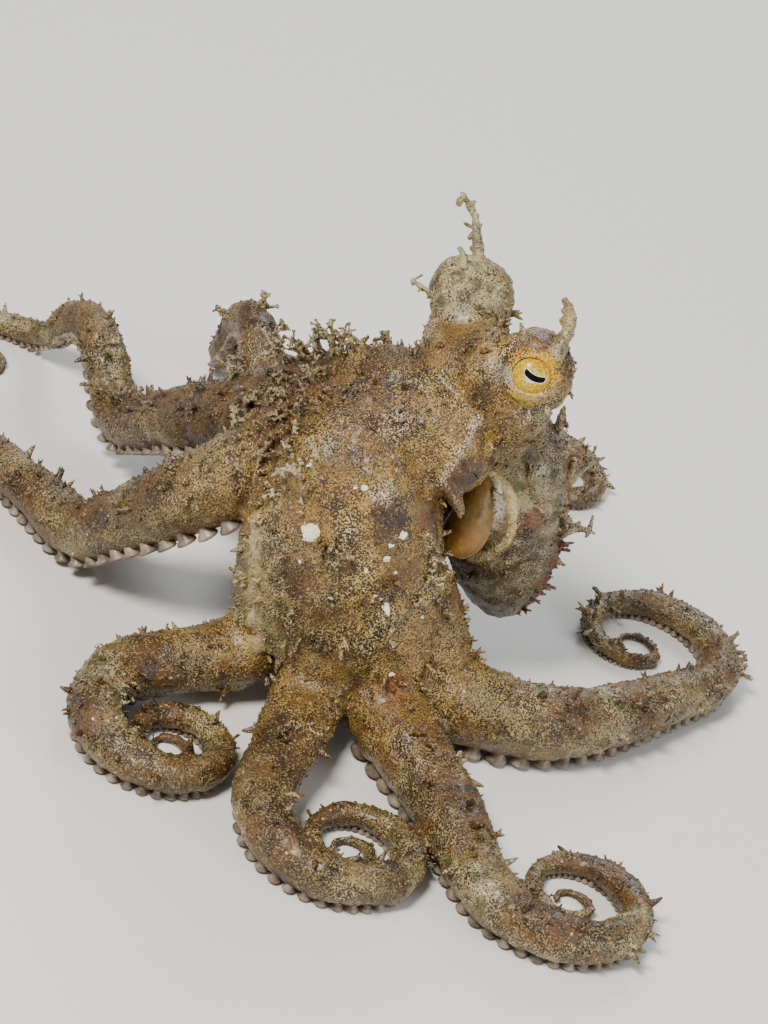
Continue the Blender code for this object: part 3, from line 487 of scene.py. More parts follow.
# The markings, the same on the skin and on all that grows on it, from where a point lies, with painted
# shade and painted glints among them. Each mesh keeps them in two attributes. "marks" holds gold, dark
# (dark patches and painted shade), pale and cool shares, and "tints" holds rust-red (rust-red patches and
# painted shade), blue-grey, white (white scars and painted glints) and bare places without freckles.
GOLD, DARK_AND_SHADE, PALE, COOL, RUST_AND_SHADE, BLUE, SCAR_AND_GLINT, BARE = range(8)
SPOTS = {
    GOLD: (
        ((13.8, -3.9, 67.6), 4.6, 0.76), ((13.4, -4.4, 63.6), 2.6, 0.6), ((-15.4, -1.6, 68.0), 3.4, 0.74),
        ((9.0, -21.4, 51.4), 6.5, 0.36), ((7.8, -28.6, 43.5), 4.0, 0.34),
        ((17.1, -20.5, 33.2), 3.8, 0.34), ((10.9, -5.1, 54.3), 3.0, 0.5), ((-6.0, -24.0, 47.0), 5.0, 0.3),
        ((-12.0, -22.0, 38.0), 5.0, 0.3), ((3.0, -14.0, 60.0), 4.0, 0.3), ((0.0, -32.0, 22.0), 5.0, 0.3),
        ((-2.0, 15.0, 50.0), 4.0, 0.3),
    ),
    RUST_AND_SHADE: (
        ((12.0, -3.0, 71.6), 1.8, 0.5), ((12.4, -8.8, 48.6), 3.0, 0.6), ((7.1, -28.7, 44.0), 2.8, 0.3),
        ((12.4, -13.0, 42.0), 2.2, 0.9), ((19.0, -14.0, 14.4), 2.6, 0.5), ((12.3, -7.6, 49.4), 2.4, 0.6),
        ((11.5, 9.2, 37.8), 2.6, 0.7), ((3.6, 6.0, 24.0), 3.0, 0.6), ((-9.6, -27.0, 34.0), 4.0, 0.4),
        ((-16.0, -20.0, 44.0), 3.4, 0.4), ((-6.0, -6.6, 64.0), 1.6, 0.5), ((16.0, -19.1, 32.5), 2.0, 0.3),
        ((8.2, -30.0, 29.4), 2.6, 0.3),
    ),
    BLUE: (
        ((12.0, 2.2, 65.2), 2.2, 1.0), ((11.2, -7.4, 66.2), 2.3, 0.95), ((9.4, -7.0, 66.6), 1.4, 0.8),
        ((-5.5, -3.5, 65.6), 2.0, 0.5), ((3.1, -28.1, 49.5), 1.5, 0.5), ((10.0, 12.0, 33.0), 4.0, 0.3),
    ),
    # Dark patches of the skin's own, and painted shade: the wide patches over the far ridge and the left of
    # the crown, where less light falls, and the patch in the hollow of the mantle's opening
    DARK_AND_SHADE: (
        ((10.2, -7.2, 65.2), 1.5, 0.6), ((9.4, -6.8, 68.2), 1.7, 0.6), ((9.6, -1.0, 72.4), 2.8, 0.7),
        ((13.2, 3.0, 68.4), 2.2, 0.6), ((9.2, -8.4, 61.0), 2.6, 0.5), ((2.0, -6.0, 63.5), 4.0, 0.55),
        ((6.3, -24.5, 51.5), 3.0, 0.6), ((-20.0, -19.0, 45.0), 12.0, 0.8),
        ((-34.0, -18.0, 32.0), 12.0, 0.7), ((-6.0, -14.0, 58.0), 6.0, 0.6),
        ((0.0, -21.0, 55.5), 8.0, 0.5), ((-10.0, -24.0, 46.0), 8.0, 0.65),
        ((11.6, -27.0, 35.4), 3.0, 0.4), ((12.4, -8.6, 49.2), 3.0, 0.95), ((10.6, 6.6, 31.0), 2.2, 0.6),
        ((7.1, -28.7, 44.0), 2.4, 0.35), ((13.2, -20.9, 42.8), 3.2, 0.9),
        ((16.0, -19.1, 32.5), 2.5, 0.65), ((8.2, -30.0, 29.4), 3.0, 0.65),
        ((-3.0, -28.0, 40.0), 3.2, 0.5), ((-14.0, -16.0, 47.0), 4.0, 0.6),
        ((12.6, -12.0, 41.6), 1.8, 0.9), ((3.5, 6.2, 24.5), 3.0, 0.6), ((11.0, 8.6, 36.0), 1.7, 0.8),
        ((-4.0, -6.0, 63.5), 2.2, 0.5), ((-10.0, -25.0, 33.0), 3.4, 0.5), ((0.5, -2.0, 66.0), 2.2, 0.4),
        ((7.4, 4.2, 36.6), 4.4, 0.55), ((12.7, -26.4, 26.6), 2.2, 0.45), ((13.1, -8.6, 33.9), 2.0, 0.4),
        ((9.7, -27.6, 18.8), 2.4, 0.4),
    ),
    BARE: (
        ((12.0, 2.2, 65.2), 2.4, 1.0), ((11.2, -7.4, 66.2), 2.3, 0.8), ((-6.0, -3.0, 69.0), 7.0, 0.5),
        ((13.8, -3.9, 67.6), 4.2, 0.45), ((9.0, 9.0, 40.0), 9.0, 0.5), ((9.0, 3.0, 38.0), 4.0, 1.0),
    ),
    PALE: (
        ((13.4, -2.4, 60.6), 2.0, 0.4), ((14.6, -0.6, 62.4), 1.6, 0.4), ((4.8, -18.8, 54.2), 2.6, 0.7),
        ((11.0, 9.0, 46.8), 1.2, 0.7), ((-5.5, -3.5, 66.0), 2.4, 0.55), ((11.4, -22.6, 46.6), 2.2, 0.5),
        ((2.6, -27.9, 50.0), 1.6, 0.4), ((10.6, 5.0, 47.0), 2.0, 0.35),
    ),
    # White marks: the wide first one is a white scar of the skin's own, and the small ones are painted glints
    SCAR_AND_GLINT: (
        ((7.2, -30.2, 37.4), 1.65, 1.0), ((14.2, -18.7, 40.6), 0.7, 1.0), ((9.7, -25.2, 47.0), 0.55, 1.0),
        ((11.3, -22.7, 46.4), 0.55, 1.0), ((14.9, -21.0, 37.0), 0.6, 1.0),
        ((7.4, -30.4, 32.4), 0.45, 1.0), ((15.7, -21.4, 30.8), 0.5, 1.0),
        ((16.3, -19.2, 29.2), 0.45, 1.0), ((14.5, -23.6, 35.0), 0.4, 1.0),
        ((14.6, -20.7, 39.2), 0.4, 1.0), ((2.0, -29.8, 46.5), 0.45, 1.0), ((18.1, -15.1, 16.7), 0.5, 1.0),
        ((15.6, -18.8, 34.5), 0.4, 1.0), ((16.9, -11.8, 26.3), 0.45, 1.0), ((8.9, -26.2, 46.6), 0.4, 1.0),
    ),
    COOL: (
        ((4.0, -30.0, 24.0), 11.0, 0.8), ((-20.0, -18.0, 40.0), 12.0, 0.6),
        ((-9.0, -2.0, 70.0), 7.0, 1.0),
    ),
}
SMALL_SPOT = 1.7
FLAP_SHADE = ((12.4, -11.6, 47.0), (12.2, -10.8, 43.6), (12.9, -10.8, 38.8))
MANTLE_EDGE = ((1.0, 14.0, 51.4), (5.5, 16.2, 47.4), (8.2, 18.0, 41.0), (9.0, 19.2, 34.0),
               (8.6, 19.6, 24.0), (5.6, 20.4, 14.0))
LID_BAND = [spot / MM for spot in lid_line(*EYES["left"], 0.9 * MM)][1:16]
LID_UNDER = [spot / MM for spot in lid_line(*EYES["left"], 0.9 * MM)][18:31]
# The rust-red and dark lines along FLAP_SHADE, beside the flap, and the dark lines along the creases are
# painted shade
LINES = (
    (GOLD, LID_BAND, 1.1, 1.0), (GOLD, LID_UNDER, 1.5, 0.78), (PALE, LID_UNDER, 1.0, 0.25),
    (PALE, SCALLOPS, 1.1, 0.3), (BARE, SCALLOPS, 1.8, 1.0), (PALE, CROWN_FOLD, 0.75, 0.75),
    (PALE, FLAP, 0.9, 0.45), (SCAR_AND_GLINT, COLLAR, 0.8, 1.0), (PALE, COLLAR_INNER, 1.2, 0.8),
    (BLUE, COLLAR_INNER, 0.9, 0.4), (GOLD, MARGIN, 1.0, 0.78), (PALE, MARGIN, 0.7, 0.75),
    (BARE, MARGIN, 1.0, 0.9), (RUST_AND_SHADE, FLAP_SHADE, 1.3, 0.8), (DARK_AND_SHADE, FLAP_SHADE, 1.0, 0.8),
    (RUST_AND_SHADE, MANTLE_EDGE, 2.1, 1.0), (GOLD, MANTLE_EDGE[:4], 1.6, 0.4),
    *((DARK_AND_SHADE, stops, 0.8, 0.5) for stops in CREASES),
)

skin_points, skin_normals = read_points(skin.data), read_normals(skin.data)
bare_skin = BVHTree.FromPolygons(
    [vert.co for vert in skin.data.vertices], [face.vertices for face in skin.data.polygons])
settled = []
for channel, spots in SPOTS.items():
    for centre, radius, strength in spots:
        centre = Vector(centre) * MM
        if radius < SMALL_SPOT:
            centre = bare_skin.find_nearest(centre)[0]
        settled.append((channel, np.array(centre), radius * MM, strength))


def marks_at(points):
    """The eight shares at each point, in the octopus's own frame."""
    marks = np.zeros((len(points), 8))
    ragged = np.array([1.0 + 0.35 * noise.noise(Vector(point) / (1.4 * MM)) for point in points])
    lean = np.array(Matrix.Rotation(MANTLE_LEAN, 3, "X"))
    within = np.linalg.norm((points - np.array(MANTLE_CENTRE)) @ lean / np.array(MANTLE_RADII), axis=1)
    marks[:, COOL] = np.clip((1.22 - within) * 8.0, 0.0, 1.0)
    outward = np.linalg.norm(points[:, :2] - np.array(CROWN_CENTRE)[:2], axis=1)
    limbs = np.clip((outward - 20.0 * MM) / (16.0 * MM), 0.0, 1.0)
    broad = np.array([noise.noise(Vector(point) / (10.0 * MM)) for point in points])
    marks[:, COOL] = np.maximum(marks[:, COOL], limbs * np.clip(0.45 - 1.1 * broad, 0.0, 0.9))
    # Painted shade: the arms are painted darker away from the crown, where less light reaches them, in
    # patches that noise breaks up
    marks[:, DARK_AND_SHADE] = limbs * np.clip(0.42 + 1.1 * broad, 0.0, 0.85)
    for channel, centre, radius, strength in settled:
        distance = np.linalg.norm(points - centre, axis=1) / radius * ragged
        share = np.clip((1.3 - distance) * 1.6, 0.0, 1.0) * strength
        marks[:, channel] = np.maximum(marks[:, channel], share)
    for channel, stops, width, strength in LINES:
        distance = line_distance(points, stops) / (width * MM) * ragged
        share = np.clip((1.3 - distance) * 1.6, 0.0, 1.0) * strength
        marks[:, channel] = np.maximum(marks[:, channel], share)
    return marks


def keep_marks(mesh, marks):
    for name, part in (("marks", marks[:, :4]), ("tints", marks[:, 4:])):
        layer = mesh.color_attributes.new(name, "FLOAT_COLOR", "POINT")
        layer.data.foreach_set("color", part.ravel())


keep_marks(skin.data, marks_at(read_points(skin.data)))


def linear(hex_colour):
    """An sRGB hex colour as linear red, green, blue and alpha."""
    parts = [int(hex_colour[place:place + 2], 16) / 255.0 for place in (1, 3, 5)]
    return (*[part / 12.92 if part <= 0.04045 else ((part + 0.055) / 1.055) ** 2.4 for part in parts], 1.0)


def add_node(tree, kind, inputs=None, stops=(), **settings):
    """Adds a node. inputs maps a socket to a value or another node's output, stops are a ramp's colours."""
    node = tree.nodes.new(kind)
    for name, value in settings.items():
        setattr(node, name, value)
    for name, value in (inputs or {}).items():
        if isinstance(value, bpy.types.NodeSocket):
            tree.links.new(value, node.inputs[name])
        else:
            node.inputs[name].default_value = value
    for _ in stops[2:]:
        node.color_ramp.elements.new(0.5)
    for number, (place, colour) in enumerate(stops):
        node.color_ramp.elements[number].position = place
        node.color_ramp.elements[number].color = colour
    return node


BLACK, WHITE = (0.0, 0.0, 0.0, 1.0), (1.0, 1.0, 1.0, 1.0)


def per(size):
    """The scale of a pattern whose features are size mm across."""
    return 1.0 / (size * MM)


def new_finish(name, settings):
    """Starts a material with plain settings. Returns it with its node tree and its shader."""
    material = bpy.data.materials.new(name)
    material.use_nodes = True
    shader = material.node_tree.nodes["Principled BSDF"]
    for socket, value in settings.items():
        shader.inputs[socket].default_value = value
    return material, material.node_tree, shader


def damp_skin(name, glow):
    """Live octopus skin, damp and matt, freckled with tiny colour cells over cream and ochre flesh."""
    material, tree, shader = new_finish(name, {
        "Subsurface Weight": glow, "Subsurface Radius": (0.8 * MM, 0.45 * MM, 0.25 * MM),
        "Subsurface Scale": 1.0, "Coat Weight": 0.15, "Coat Roughness": 0.22})
    place = add_node(tree, "ShaderNodeTexCoord").outputs["Object"]
    shares = []
    for kept in ("marks", "tints"):
        held = add_node(tree, "ShaderNodeAttribute", attribute_name=kept)
        parts = add_node(tree, "ShaderNodeSeparateColor", {"Color": held.outputs["Color"]})
        shares += [*parts.outputs, held.outputs["Alpha"]]
    # Of these shares, dark and rust also carry painted shade, and scar also carries painted glints
    gold, dark_and_shade, pale, cool, rust_and_shade, blue, scar_and_glint, bare = shares

    # Clouds of several sizes, and cells whose places are shifted a little so that they don't line up
    clouds = {}
    for size, detail in ((9.0, 4.0), (6.0, 4.0), (4.0, 3.0), (2.4, 4.0), (0.5, 2.0)):
        clouds[size] = add_node(tree, "ShaderNodeTexNoise", {
            "Vector": place, "Scale": per(size), "Detail": detail, "Roughness": 0.62}).outputs["Fac"]
    drift = add_node(tree, "ShaderNodeTexNoise", {"Vector": place, "Scale": per(2.2), "Detail": 2.0})
    warped = add_node(tree, "ShaderNodeVectorMath", {
        0: drift.outputs["Color"], 1: (0.6 * MM,) * 3, 2: place}, operation="MULTIPLY_ADD").outputs[0]
    cells = {}
    for size in (0.25, 0.35, 1.1, 1.9, 3.0):
        cell = add_node(tree, "ShaderNodeTexVoronoi", {"Vector": warped, "Scale": per(size)})
        cells[size] = cell.outputs["Distance"]
    edges = add_node(tree, "ShaderNodeTexVoronoi", {"Vector": warped, "Scale": per(2.1)},
                     feature="DISTANCE_TO_EDGE")

    # Broad clouds of cream, tan and brown, or of grey and olive on the mantle and the arms
    warm = add_node(tree, "ShaderNodeValToRGB", {"Fac": clouds[9.0]}, (
        (0.34, linear("#58411A")), (0.45, linear("#84662A")), (0.56, linear("#B09450")),
        (0.70, linear("#D6C38A"))))
    grey = add_node(tree, "ShaderNodeValToRGB", {"Fac": clouds[6.0]}, (
        (0.34, linear("#625A36")), (0.46, linear("#90865C")), (0.58, linear("#B4AB82")),
        (0.72, linear("#D6D0B0"))))
    mossy, rusty, ashy = [
        add_node(tree, "ShaderNodeValToRGB", {"Fac": clouds[size]}, ((low, BLACK), (high, linear(shade))))
        for size, low, high, shade in (
            (6.0, 0.49, 0.64, "#B8B8B8"), (4.0, 0.50, 0.66, "#BBBBBB"), (2.4, 0.50, 0.68, "#C0C0C0"))]
    golden = add_node(tree, "ShaderNodeValToRGB", {"Fac": gold}, (
        (0.15, linear("#866820")), (0.5, linear("#A48222")), (0.75, linear("#C9A628")),
        (1.0, linear("#C79208"))))

    # Olive spots of the mantle and the arms, a net of dark grooves, and white flecks, partly the skin's own
    # and partly painted glints
    held_in = []
    for pattern, full, none, where in (
        (cells[3.0], 0.28, 0.52, cool), (edges.outputs["Distance"], 0.0, 0.14, ashy.outputs["Color"]),
        (cells[1.9], 0.10, 0.15, rusty.outputs["Color"]), (cells[1.1], 0.20, 0.40, ashy.outputs["Color"]),
    ):
        drawn = add_node(tree, "ShaderNodeValToRGB", {"Fac": pattern}, ((full, WHITE), (none, BLACK)))
        held = add_node(tree, "ShaderNodeMath", {0: drawn.outputs["Color"], 1: where}, operation="MULTIPLY")
        held_in.append(held.outputs[0])
    olive, netted, flecks_and_glints, salted = held_in

    # Colour cells: real ones are about 0.1 mm across, drawn larger so that they show. They cover about
    # two fifths of the skin, crowd together in clouds, in dark patches and in painted shade, and thin out on
    # bare skin
    crowd = add_node(tree, "ShaderNodeMath", {0: clouds[2.4], 1: clouds[9.0]}, operation="ADD").outputs[0]
    crowd = add_node(tree, "ShaderNodeMath", {0: crowd, 1: 0.55, 2: -0.55}, operation="MULTIPLY_ADD")
    for share, change in ((dark_and_shade, 0.20), (bare, -0.24)):
        terms = {0: share, 1: change, 2: crowd.outputs[0]}
        crowd = add_node(tree, "ShaderNodeMath", terms, operation="MULTIPLY_ADD")
    dots = []
    for size, edge in ((0.35, 0.44), (0.25, 0.38)):
        close = add_node(tree, "ShaderNodeMath", {0: cells[size], 1: crowd.outputs[0]}, operation="SUBTRACT")
        dots.append(add_node(tree, "ShaderNodeValToRGB", {"Fac": close.outputs[0]}, (
            (edge - 0.06, WHITE), (edge + 0.06, BLACK))))
    dot_colour = add_node(tree, "ShaderNodeValToRGB", {"Fac": clouds[4.0]}, (
        (0.40, linear("#2B1C0C")), (0.62, linear("#523615"))))

    # White scars and painted glints with sharp edges, and pale and dark patches broken up by small clouds
    torn = add_node(tree, "ShaderNodeMath", {0: clouds[0.5], 1: 0.5, 2: scar_and_glint}, operation="MULTIPLY_ADD")
    scars_and_glints = add_node(tree, "ShaderNodeValToRGB", {"Fac": torn.outputs[0]}, ((0.78, BLACK), (0.86, WHITE)))
    ragged = add_node(tree, "ShaderNodeValToRGB", {"Fac": clouds[0.5]}, (
        (0.34, linear("#333333")), (0.58, WHITE)))
    frayed = []
    for share in (pale, blue):
        broken = add_node(tree, "ShaderNodeMath", {
            0: share, 1: ragged.outputs["Color"]}, operation="MULTIPLY")
        frayed.append(broken.outputs[0])
    # Browner and darker in the dark patches and in the painted shade
    browner_and_shade = add_node(tree, "ShaderNodeMath", {0: dark_and_shade, 1: 0.6}, operation="MULTIPLY").outputs[0]

    base = warm.outputs["Color"]
    for factor, colour in (
        (cool, grey.outputs["Color"]), (rusty.outputs["Color"], linear("#845C24")),
        (mossy.outputs["Color"], linear("#6E6430")), (olive, linear("#57532A")),
        (rust_and_shade, linear("#7E3E18")), (browner_and_shade, linear("#4C381C")), (gold, golden.outputs["Color"]),
        (frayed[1], linear("#748287")), (netted, linear("#4A3A1E")), (salted, linear("#E4D9B6")),
        (frayed[0], linear("#DDD2B8")), (dots[1].outputs["Color"], dot_colour.outputs["Color"]),
        (dots[0].outputs["Color"], dot_colour.outputs["Color"]), (flecks_and_glints, linear("#EEE8D2")),
        (scars_and_glints.outputs["Color"], linear("#E8E1C8")),
    ):
        base = add_node(tree, "ShaderNodeMix", {0: factor, 6: base, 7: colour}, data_type="RGBA").outputs[2]
    tree.links.new(base, shader.inputs["Base Color"])

    grain = add_node(tree, "ShaderNodeMath", {0: clouds[0.5], 1: cells[0.35]}, operation="ADD")
    bump = add_node(tree, "ShaderNodeBump", {
        "Height": grain.outputs[0], "Strength": 0.6, "Distance": 0.22 * MM})
    tree.links.new(bump.outputs["Normal"], shader.inputs["Normal"])
    rough = add_node(tree, "ShaderNodeMapRange", {"Value": clouds[4.0], "To Min": 0.32, "To Max": 0.56})
    tree.links.new(rough.outputs["Result"], shader.inputs["Roughness"])
    return material


skin_finish = damp_skin("damp freckled octopus skin", 0.03)
frond_finish = damp_skin("thin translucent skin of the papillae", 0.30)


def set_down(obj, material, slot, *nodes):
    """Moves a piece from the octopus's own frame to the model's, and gives it to the frame."""
    obj.data.transform(Matrix.Translation(UNDER_EYES))
    obj.data.materials.clear()
    obj.data.materials.append(material)
    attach(obj, "root")
    if nodes:
        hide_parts(*nodes)


arm_nodes = [f"{name}_{part}" for name in ARMS for part in ("near", "middle", "tip")]
set_down(skin, skin_finish, "skin", "mantle", "head", "crown", *arm_nodes)

# The tall papillae. Branched, knobbed fronds of skin that the octopus raises over its eyes, down
# its back and along its shoulders. Each is a bent stem with side lobes, rooted in the skin.
# Their points are in mm from the root, to the photograph's right and upwards, with a radius.
TALL_PAPILLAE = (
    ((-7.8, -1.2, 73.0),
     ((0.0, -0.6, 1.3), (-0.15, 3.0, 1.0), (-0.4, 5.85, 0.72), (-0.6, 8.1, 0.68), (-1.5, 9.6, 0.62),
      (-2.3, 11.2, 0.4)),
     ((-1.5, 3.3, 0.45), (-1.7, 4.6, 0.5), (-2.4, 7.0, 0.3), (-3.4, 9.6, 0.6), (-0.6, 10.5, 0.5),
      (-2.9, 11.7, 0.3), (0.4, 7.0, 0.35), (0.6, 4.2, 0.3))),
    ((-9.0, -2.9, 72.3),
     ((0.0, 0.0, 0.7), (-0.1, 1.9, 0.6), (-0.8, 3.2, 0.3)),
     ((-0.9, 2.0, 0.35), (0.6, 1.7, 0.3))),
    ((-10.9, -4.4, 71.3), ((0.0, 0.0, 0.45), (0.0, 1.4, 0.4)), ()),
    ((-12.5, -4.4, 65.5),
     ((0.0, 0.0, 0.75), (-1.6, 0.9, 0.55), (-3.0, 1.9, 0.25)),
     ((-1.3, 2.8, 0.25), (-2.1, 0.1, 0.28), (-2.9, 0.9, 0.22))),
    ((9.1, -3.5, 71.1), ((0.0, 0.0, 0.8), (-0.1, 1.3, 0.6), (-0.45, 2.7, 0.2)), ((0.5, 1.1, 0.3),)),
    ((12.7, 0.6, 71.0),
     ((0.0, -0.4, 1.6), (0.9, 1.65, 1.2), (1.75, 3.15, 1.05), (2.05, 4.8, 1.15), (1.8, 6.75, 0.75),
      (1.1, 8.0, 0.4)),
     ((0.5, 4.4, 0.8), (2.95, 5.2, 0.5), (2.6, 2.3, 0.5), (0.8, 5.9, 0.55), (2.6, 6.3, 0.45),
      (-0.4, 1.2, 0.6))),
    ((-4.3, 1.1, 72.0), ((0.0, 0.0, 0.5), (0.6, 0.5, 0.25)), ()),
    ((13.6, 3.8, 67.9), ((0.0, 0.0, 0.55), (0.9, 0.5, 0.2)), ()),
    ((14.3, -2.7, 61.5), ((0.0, 0.0, 0.5), (-0.1, -1.5, 0.2)), ()),
    ((15.7, -0.8, 63.0), ((0.0, 0.0, 0.6), (0.2, -1.8, 0.24)), ((0.5, -0.9, 0.22),)),
    ((3.2, 17.6, 49.0),
     ((0.0, -0.6, 1.0), (0.8, 2.3, 0.85), (1.3, 4.4, 0.22)),
     ((1.9, 0.7, 0.5), (1.5, 2.6, 0.5))),
    ((5.6, 19.9, 45.5), ((0.0, 0.0, 0.6), (0.6, 0.3, 0.35)), ()),
    ((7.8, 19.9, 42.5), ((0.0, 0.0, 0.95), (0.5, 1.6, 0.8), (0.8, 3.1, 0.65)), ()),
    ((7.8, 20.1, 42.2),
     ((0.0, 0.0, 0.9), (1.6, 1.5, 0.7), (3.1, 2.6, 0.5), (4.2, 5.6, 0.2)),
     ((2.4, 3.4, 0.35), (3.9, 3.2, 0.3))),
    ((8.6, 20.1, 40.4), ((0.0, 0.0, 0.6), (1.0, 0.1, 0.55), (2.1, 0.3, 0.35)), ()),
    ((8.5, 21.3, 37.7), ((0.0, 0.0, 0.5), (1.3, -0.2, 0.18)), ()),
    ((9.9, 20.5, 36.0), ((0.0, 0.0, 0.5), (1.0, 0.0, 0.2)), ()),
    ((9.7, 21.5, 32.0),
     ((0.0, 0.0, 0.95), (2.0, 0.7, 0.7), (4.0, 0.3, 0.6), (4.7, 2.8, 0.25)),
     ((3.4, -0.9, 0.3), (2.6, 1.8, 0.35), (1.2, 1.5, 0.4), (5.1, -0.3, 0.28))),
    ((9.5, 22.2, 26.6), ((0.0, 0.0, 0.65), (1.4, -1.0, 0.22)), ()),
    ((1.5, -30.5, 44.6),
     ((0.0, 0.0, 0.6), (-1.5, 0.6, 0.5), (-3.0, 0.4, 0.4), (-4.2, -0.4, 0.22)),
     ((-0.6, 1.5, 0.4), (-2.2, -0.7, 0.35), (-1.9, 1.6, 0.32), (-3.6, 0.9, 0.26), (-0.7, -0.8, 0.3))),
    ((2.4, -29.4, 47.6),
     ((0.0, 0.0, 0.55), (-0.4, 1.3, 0.5), (-0.7, 2.6, 0.5), (-0.5, 3.3, 0.25)),
     ((-1.4, 1.4, 0.32), (0.3, 1.9, 0.34), (-1.6, 2.6, 0.3), (-1.0, 0.2, 0.3))),
    ((9.0, 21.5, 20.9), ((0.0, 0.0, 0.6), (1.1, -0.7, 0.2)), ()),
)
BUSHES = (
    ((-16.4, -15.4, 52.0), 8.0, 6), ((-18.6, -16.6, 49.5), 6.4, 5), ((-22.6, -15.3, 47.0), 7.0, 6),
    ((-27.5, -15.5, 41.5), 6.6, 5), ((-10.2, -12.7, 58.0), 3.2, 3), ((-13.3, -14.3, 55.7), 4.6, 4),
    ((-20.5, -19.5, 43.5), 4.6, 5), ((-25.6, -21.2, 36.5), 5.4, 5), ((-34.0, -17.0, 34.0), 5.4, 5),
    ((-14.0, -25.0, 46.5), 4.0, 5), ((-11.8, -28.3, 44.7), 3.8, 5), ((-8.0, -26.6, 49.2), 3.2, 4),
    ((-4.5, -28.4, 47.5), 2.6, 4), ((-0.1, -30.2, 45.6), 2.4, 3), ((3.1, -28.1, 49.5), 2.2, 3),
    ((-15.0, -20.0, 50.5), 4.6, 5), ((-9.5, -29.5, 38.5), 3.0, 4), ((-16.5, -27.0, 37.5), 4.0, 4),
    ((-5.0, 9.0, 57.0), 3.6, 4), ((-11.0, 15.0, 44.0), 4.2, 4), ((-2.0, 20.0, 44.0), 4.6, 4),
    ((-9.0, 20.0, 30.0), 3.8, 5), ((2.0, 25.0, 24.0), 3.6, 4), ((-75.6, 15.2, 21.8), 4.0, 5),
    ((-82.0, 14.0, 15.0), 3.4, 4), ((-68.0, 14.0, 20.0), 3.6, 4), ((-72.0, -18.0, 20.0), 4.0, 5),
    ((-62.0, -18.0, 18.0), 3.2, 4), ((-80.0, -19.0, 14.0), 3.4, 4), ((-3.1, -30.0, 44.9), 2.8, 4),
    ((1.5, -30.5, 44.6), 2.6, 4), ((12.1, -26.6, 36.3), 3.6, 5), ((11.0, -27.4, 34.6), 3.4, 4),
    ((8.1, -30.0, 32.6), 1.7, 3), ((6.0, -28.3, 46.4), 1.9, 3), ((14.2, -14.3, 39.2), 2.0, 3),
    ((14.7, -12.4, 35.6), 3.2, 5), ((15.1, -11.1, 31.9), 3.2, 5), ((16.0, -12.6, 29.0), 2.3, 4),
    ((-1.2, -31.5, 37.6), 3.2, 5), ((-2.0, -32.0, 33.0), 2.8, 4), ((12.3, -26.9, 28.7), 1.8, 3),
    ((14.1, -24.9, 31.2), 1.8, 3), ((7.7, -29.5, 22.9), 2.0, 3), ((1.6, -31.3, 24.3), 2.3, 4),
    ((17.0, -15.7, 22.5), 2.3, 4), ((15.7, -21.4, 22.5), 2.0, 3), ((-10.3, -32.1, 36.5), 3.0, 4),
    ((-8.9, -30.1, 40.4), 3.2, 4), ((9.3, -22.9, 49.6), 1.6, 3), ((15.8, -21.3, 30.1), 1.6, 3),
    ((4.2, -31.0, 40.6), 1.7, 3), ((16.9, -18.0, 26.0), 2.0, 3), ((-24.0, -22.0, 34.0), 3.4, 5),
    ((-3.0, -33.0, 20.0), 2.4, 4), ((26.0, -26.0, 15.0), 2.6, 4), ((34.0, -8.0, 14.0), 2.8, 4),
)
FROND_GRAIN = 0.16 * MM
FROND_LIMIT = 160000

# The random numbers of the coat and the suckers, in one order that doesn't change
rng = np.random.default_rng(11)
stems, root_places = [], []


def rooted(place):
    """The skin's nearest corner to a place in mm, and the way out of it."""
    nearest = np.argmin(np.sum((skin_points - np.array(place) * MM) ** 2, axis=1))
    return Vector(skin_points[nearest]), Vector(skin_normals[nearest])


def photo_place(root, right, up):
    """A place measured in the photograph from a papilla's root, a little nearer or farther at random."""
    swing = rng.uniform(-0.075, 0.075) * (abs(right) + abs(up))
    return root + (PHOTO_RIGHT * right + PHOTO_UP * up + PHOTO_NEAR * swing) * MM


for place, stem, lobes in TALL_PAPILLAE:
    root, normal = rooted(place)
    root_places.append(root)
    line = [photo_place(root, right, up) for right, up, _ in stem]
    sunk = root - normal * 0.7 * MM
    stems.append(([sunk, *line], [stem[0][2] * 1.15 * MM, *[width * MM for _, _, width in stem]]))
    for right, up, width in lobes:
        end = photo_place(root, right, up)
        start = min(line, key=lambda point: (point - end).length)
        stems.append(([start, start.lerp(end, 0.6), end], [width * 0.8 * MM, width * MM, width * 0.6 * MM]))


def grow_frond(start, axis, reach, width, forks):
    """A soft bent stem that forks again and again and ends in small knobs."""
    sway = Vector(rng.normal(0.0, 0.38, 3))
    line = [start]
    for step in (1, 2, 3):
        line.append(line[-1] + (axis + sway * step / 3).normalized() * reach / 3)
    end = 0.8 * width if forks else 1.3 * width
    stems.append((line, [width, 0.85 * width, 0.8 * width, end]))
    if forks:
        for _ in range(int(rng.integers(2, 4))):
            out = (axis + sway + Vector(rng.normal(0.0, 0.6, 3))).normalized()
            grow_frond(line[3], out, reach * rng.uniform(0.5, 0.8), 0.78 * width, forks - 1)


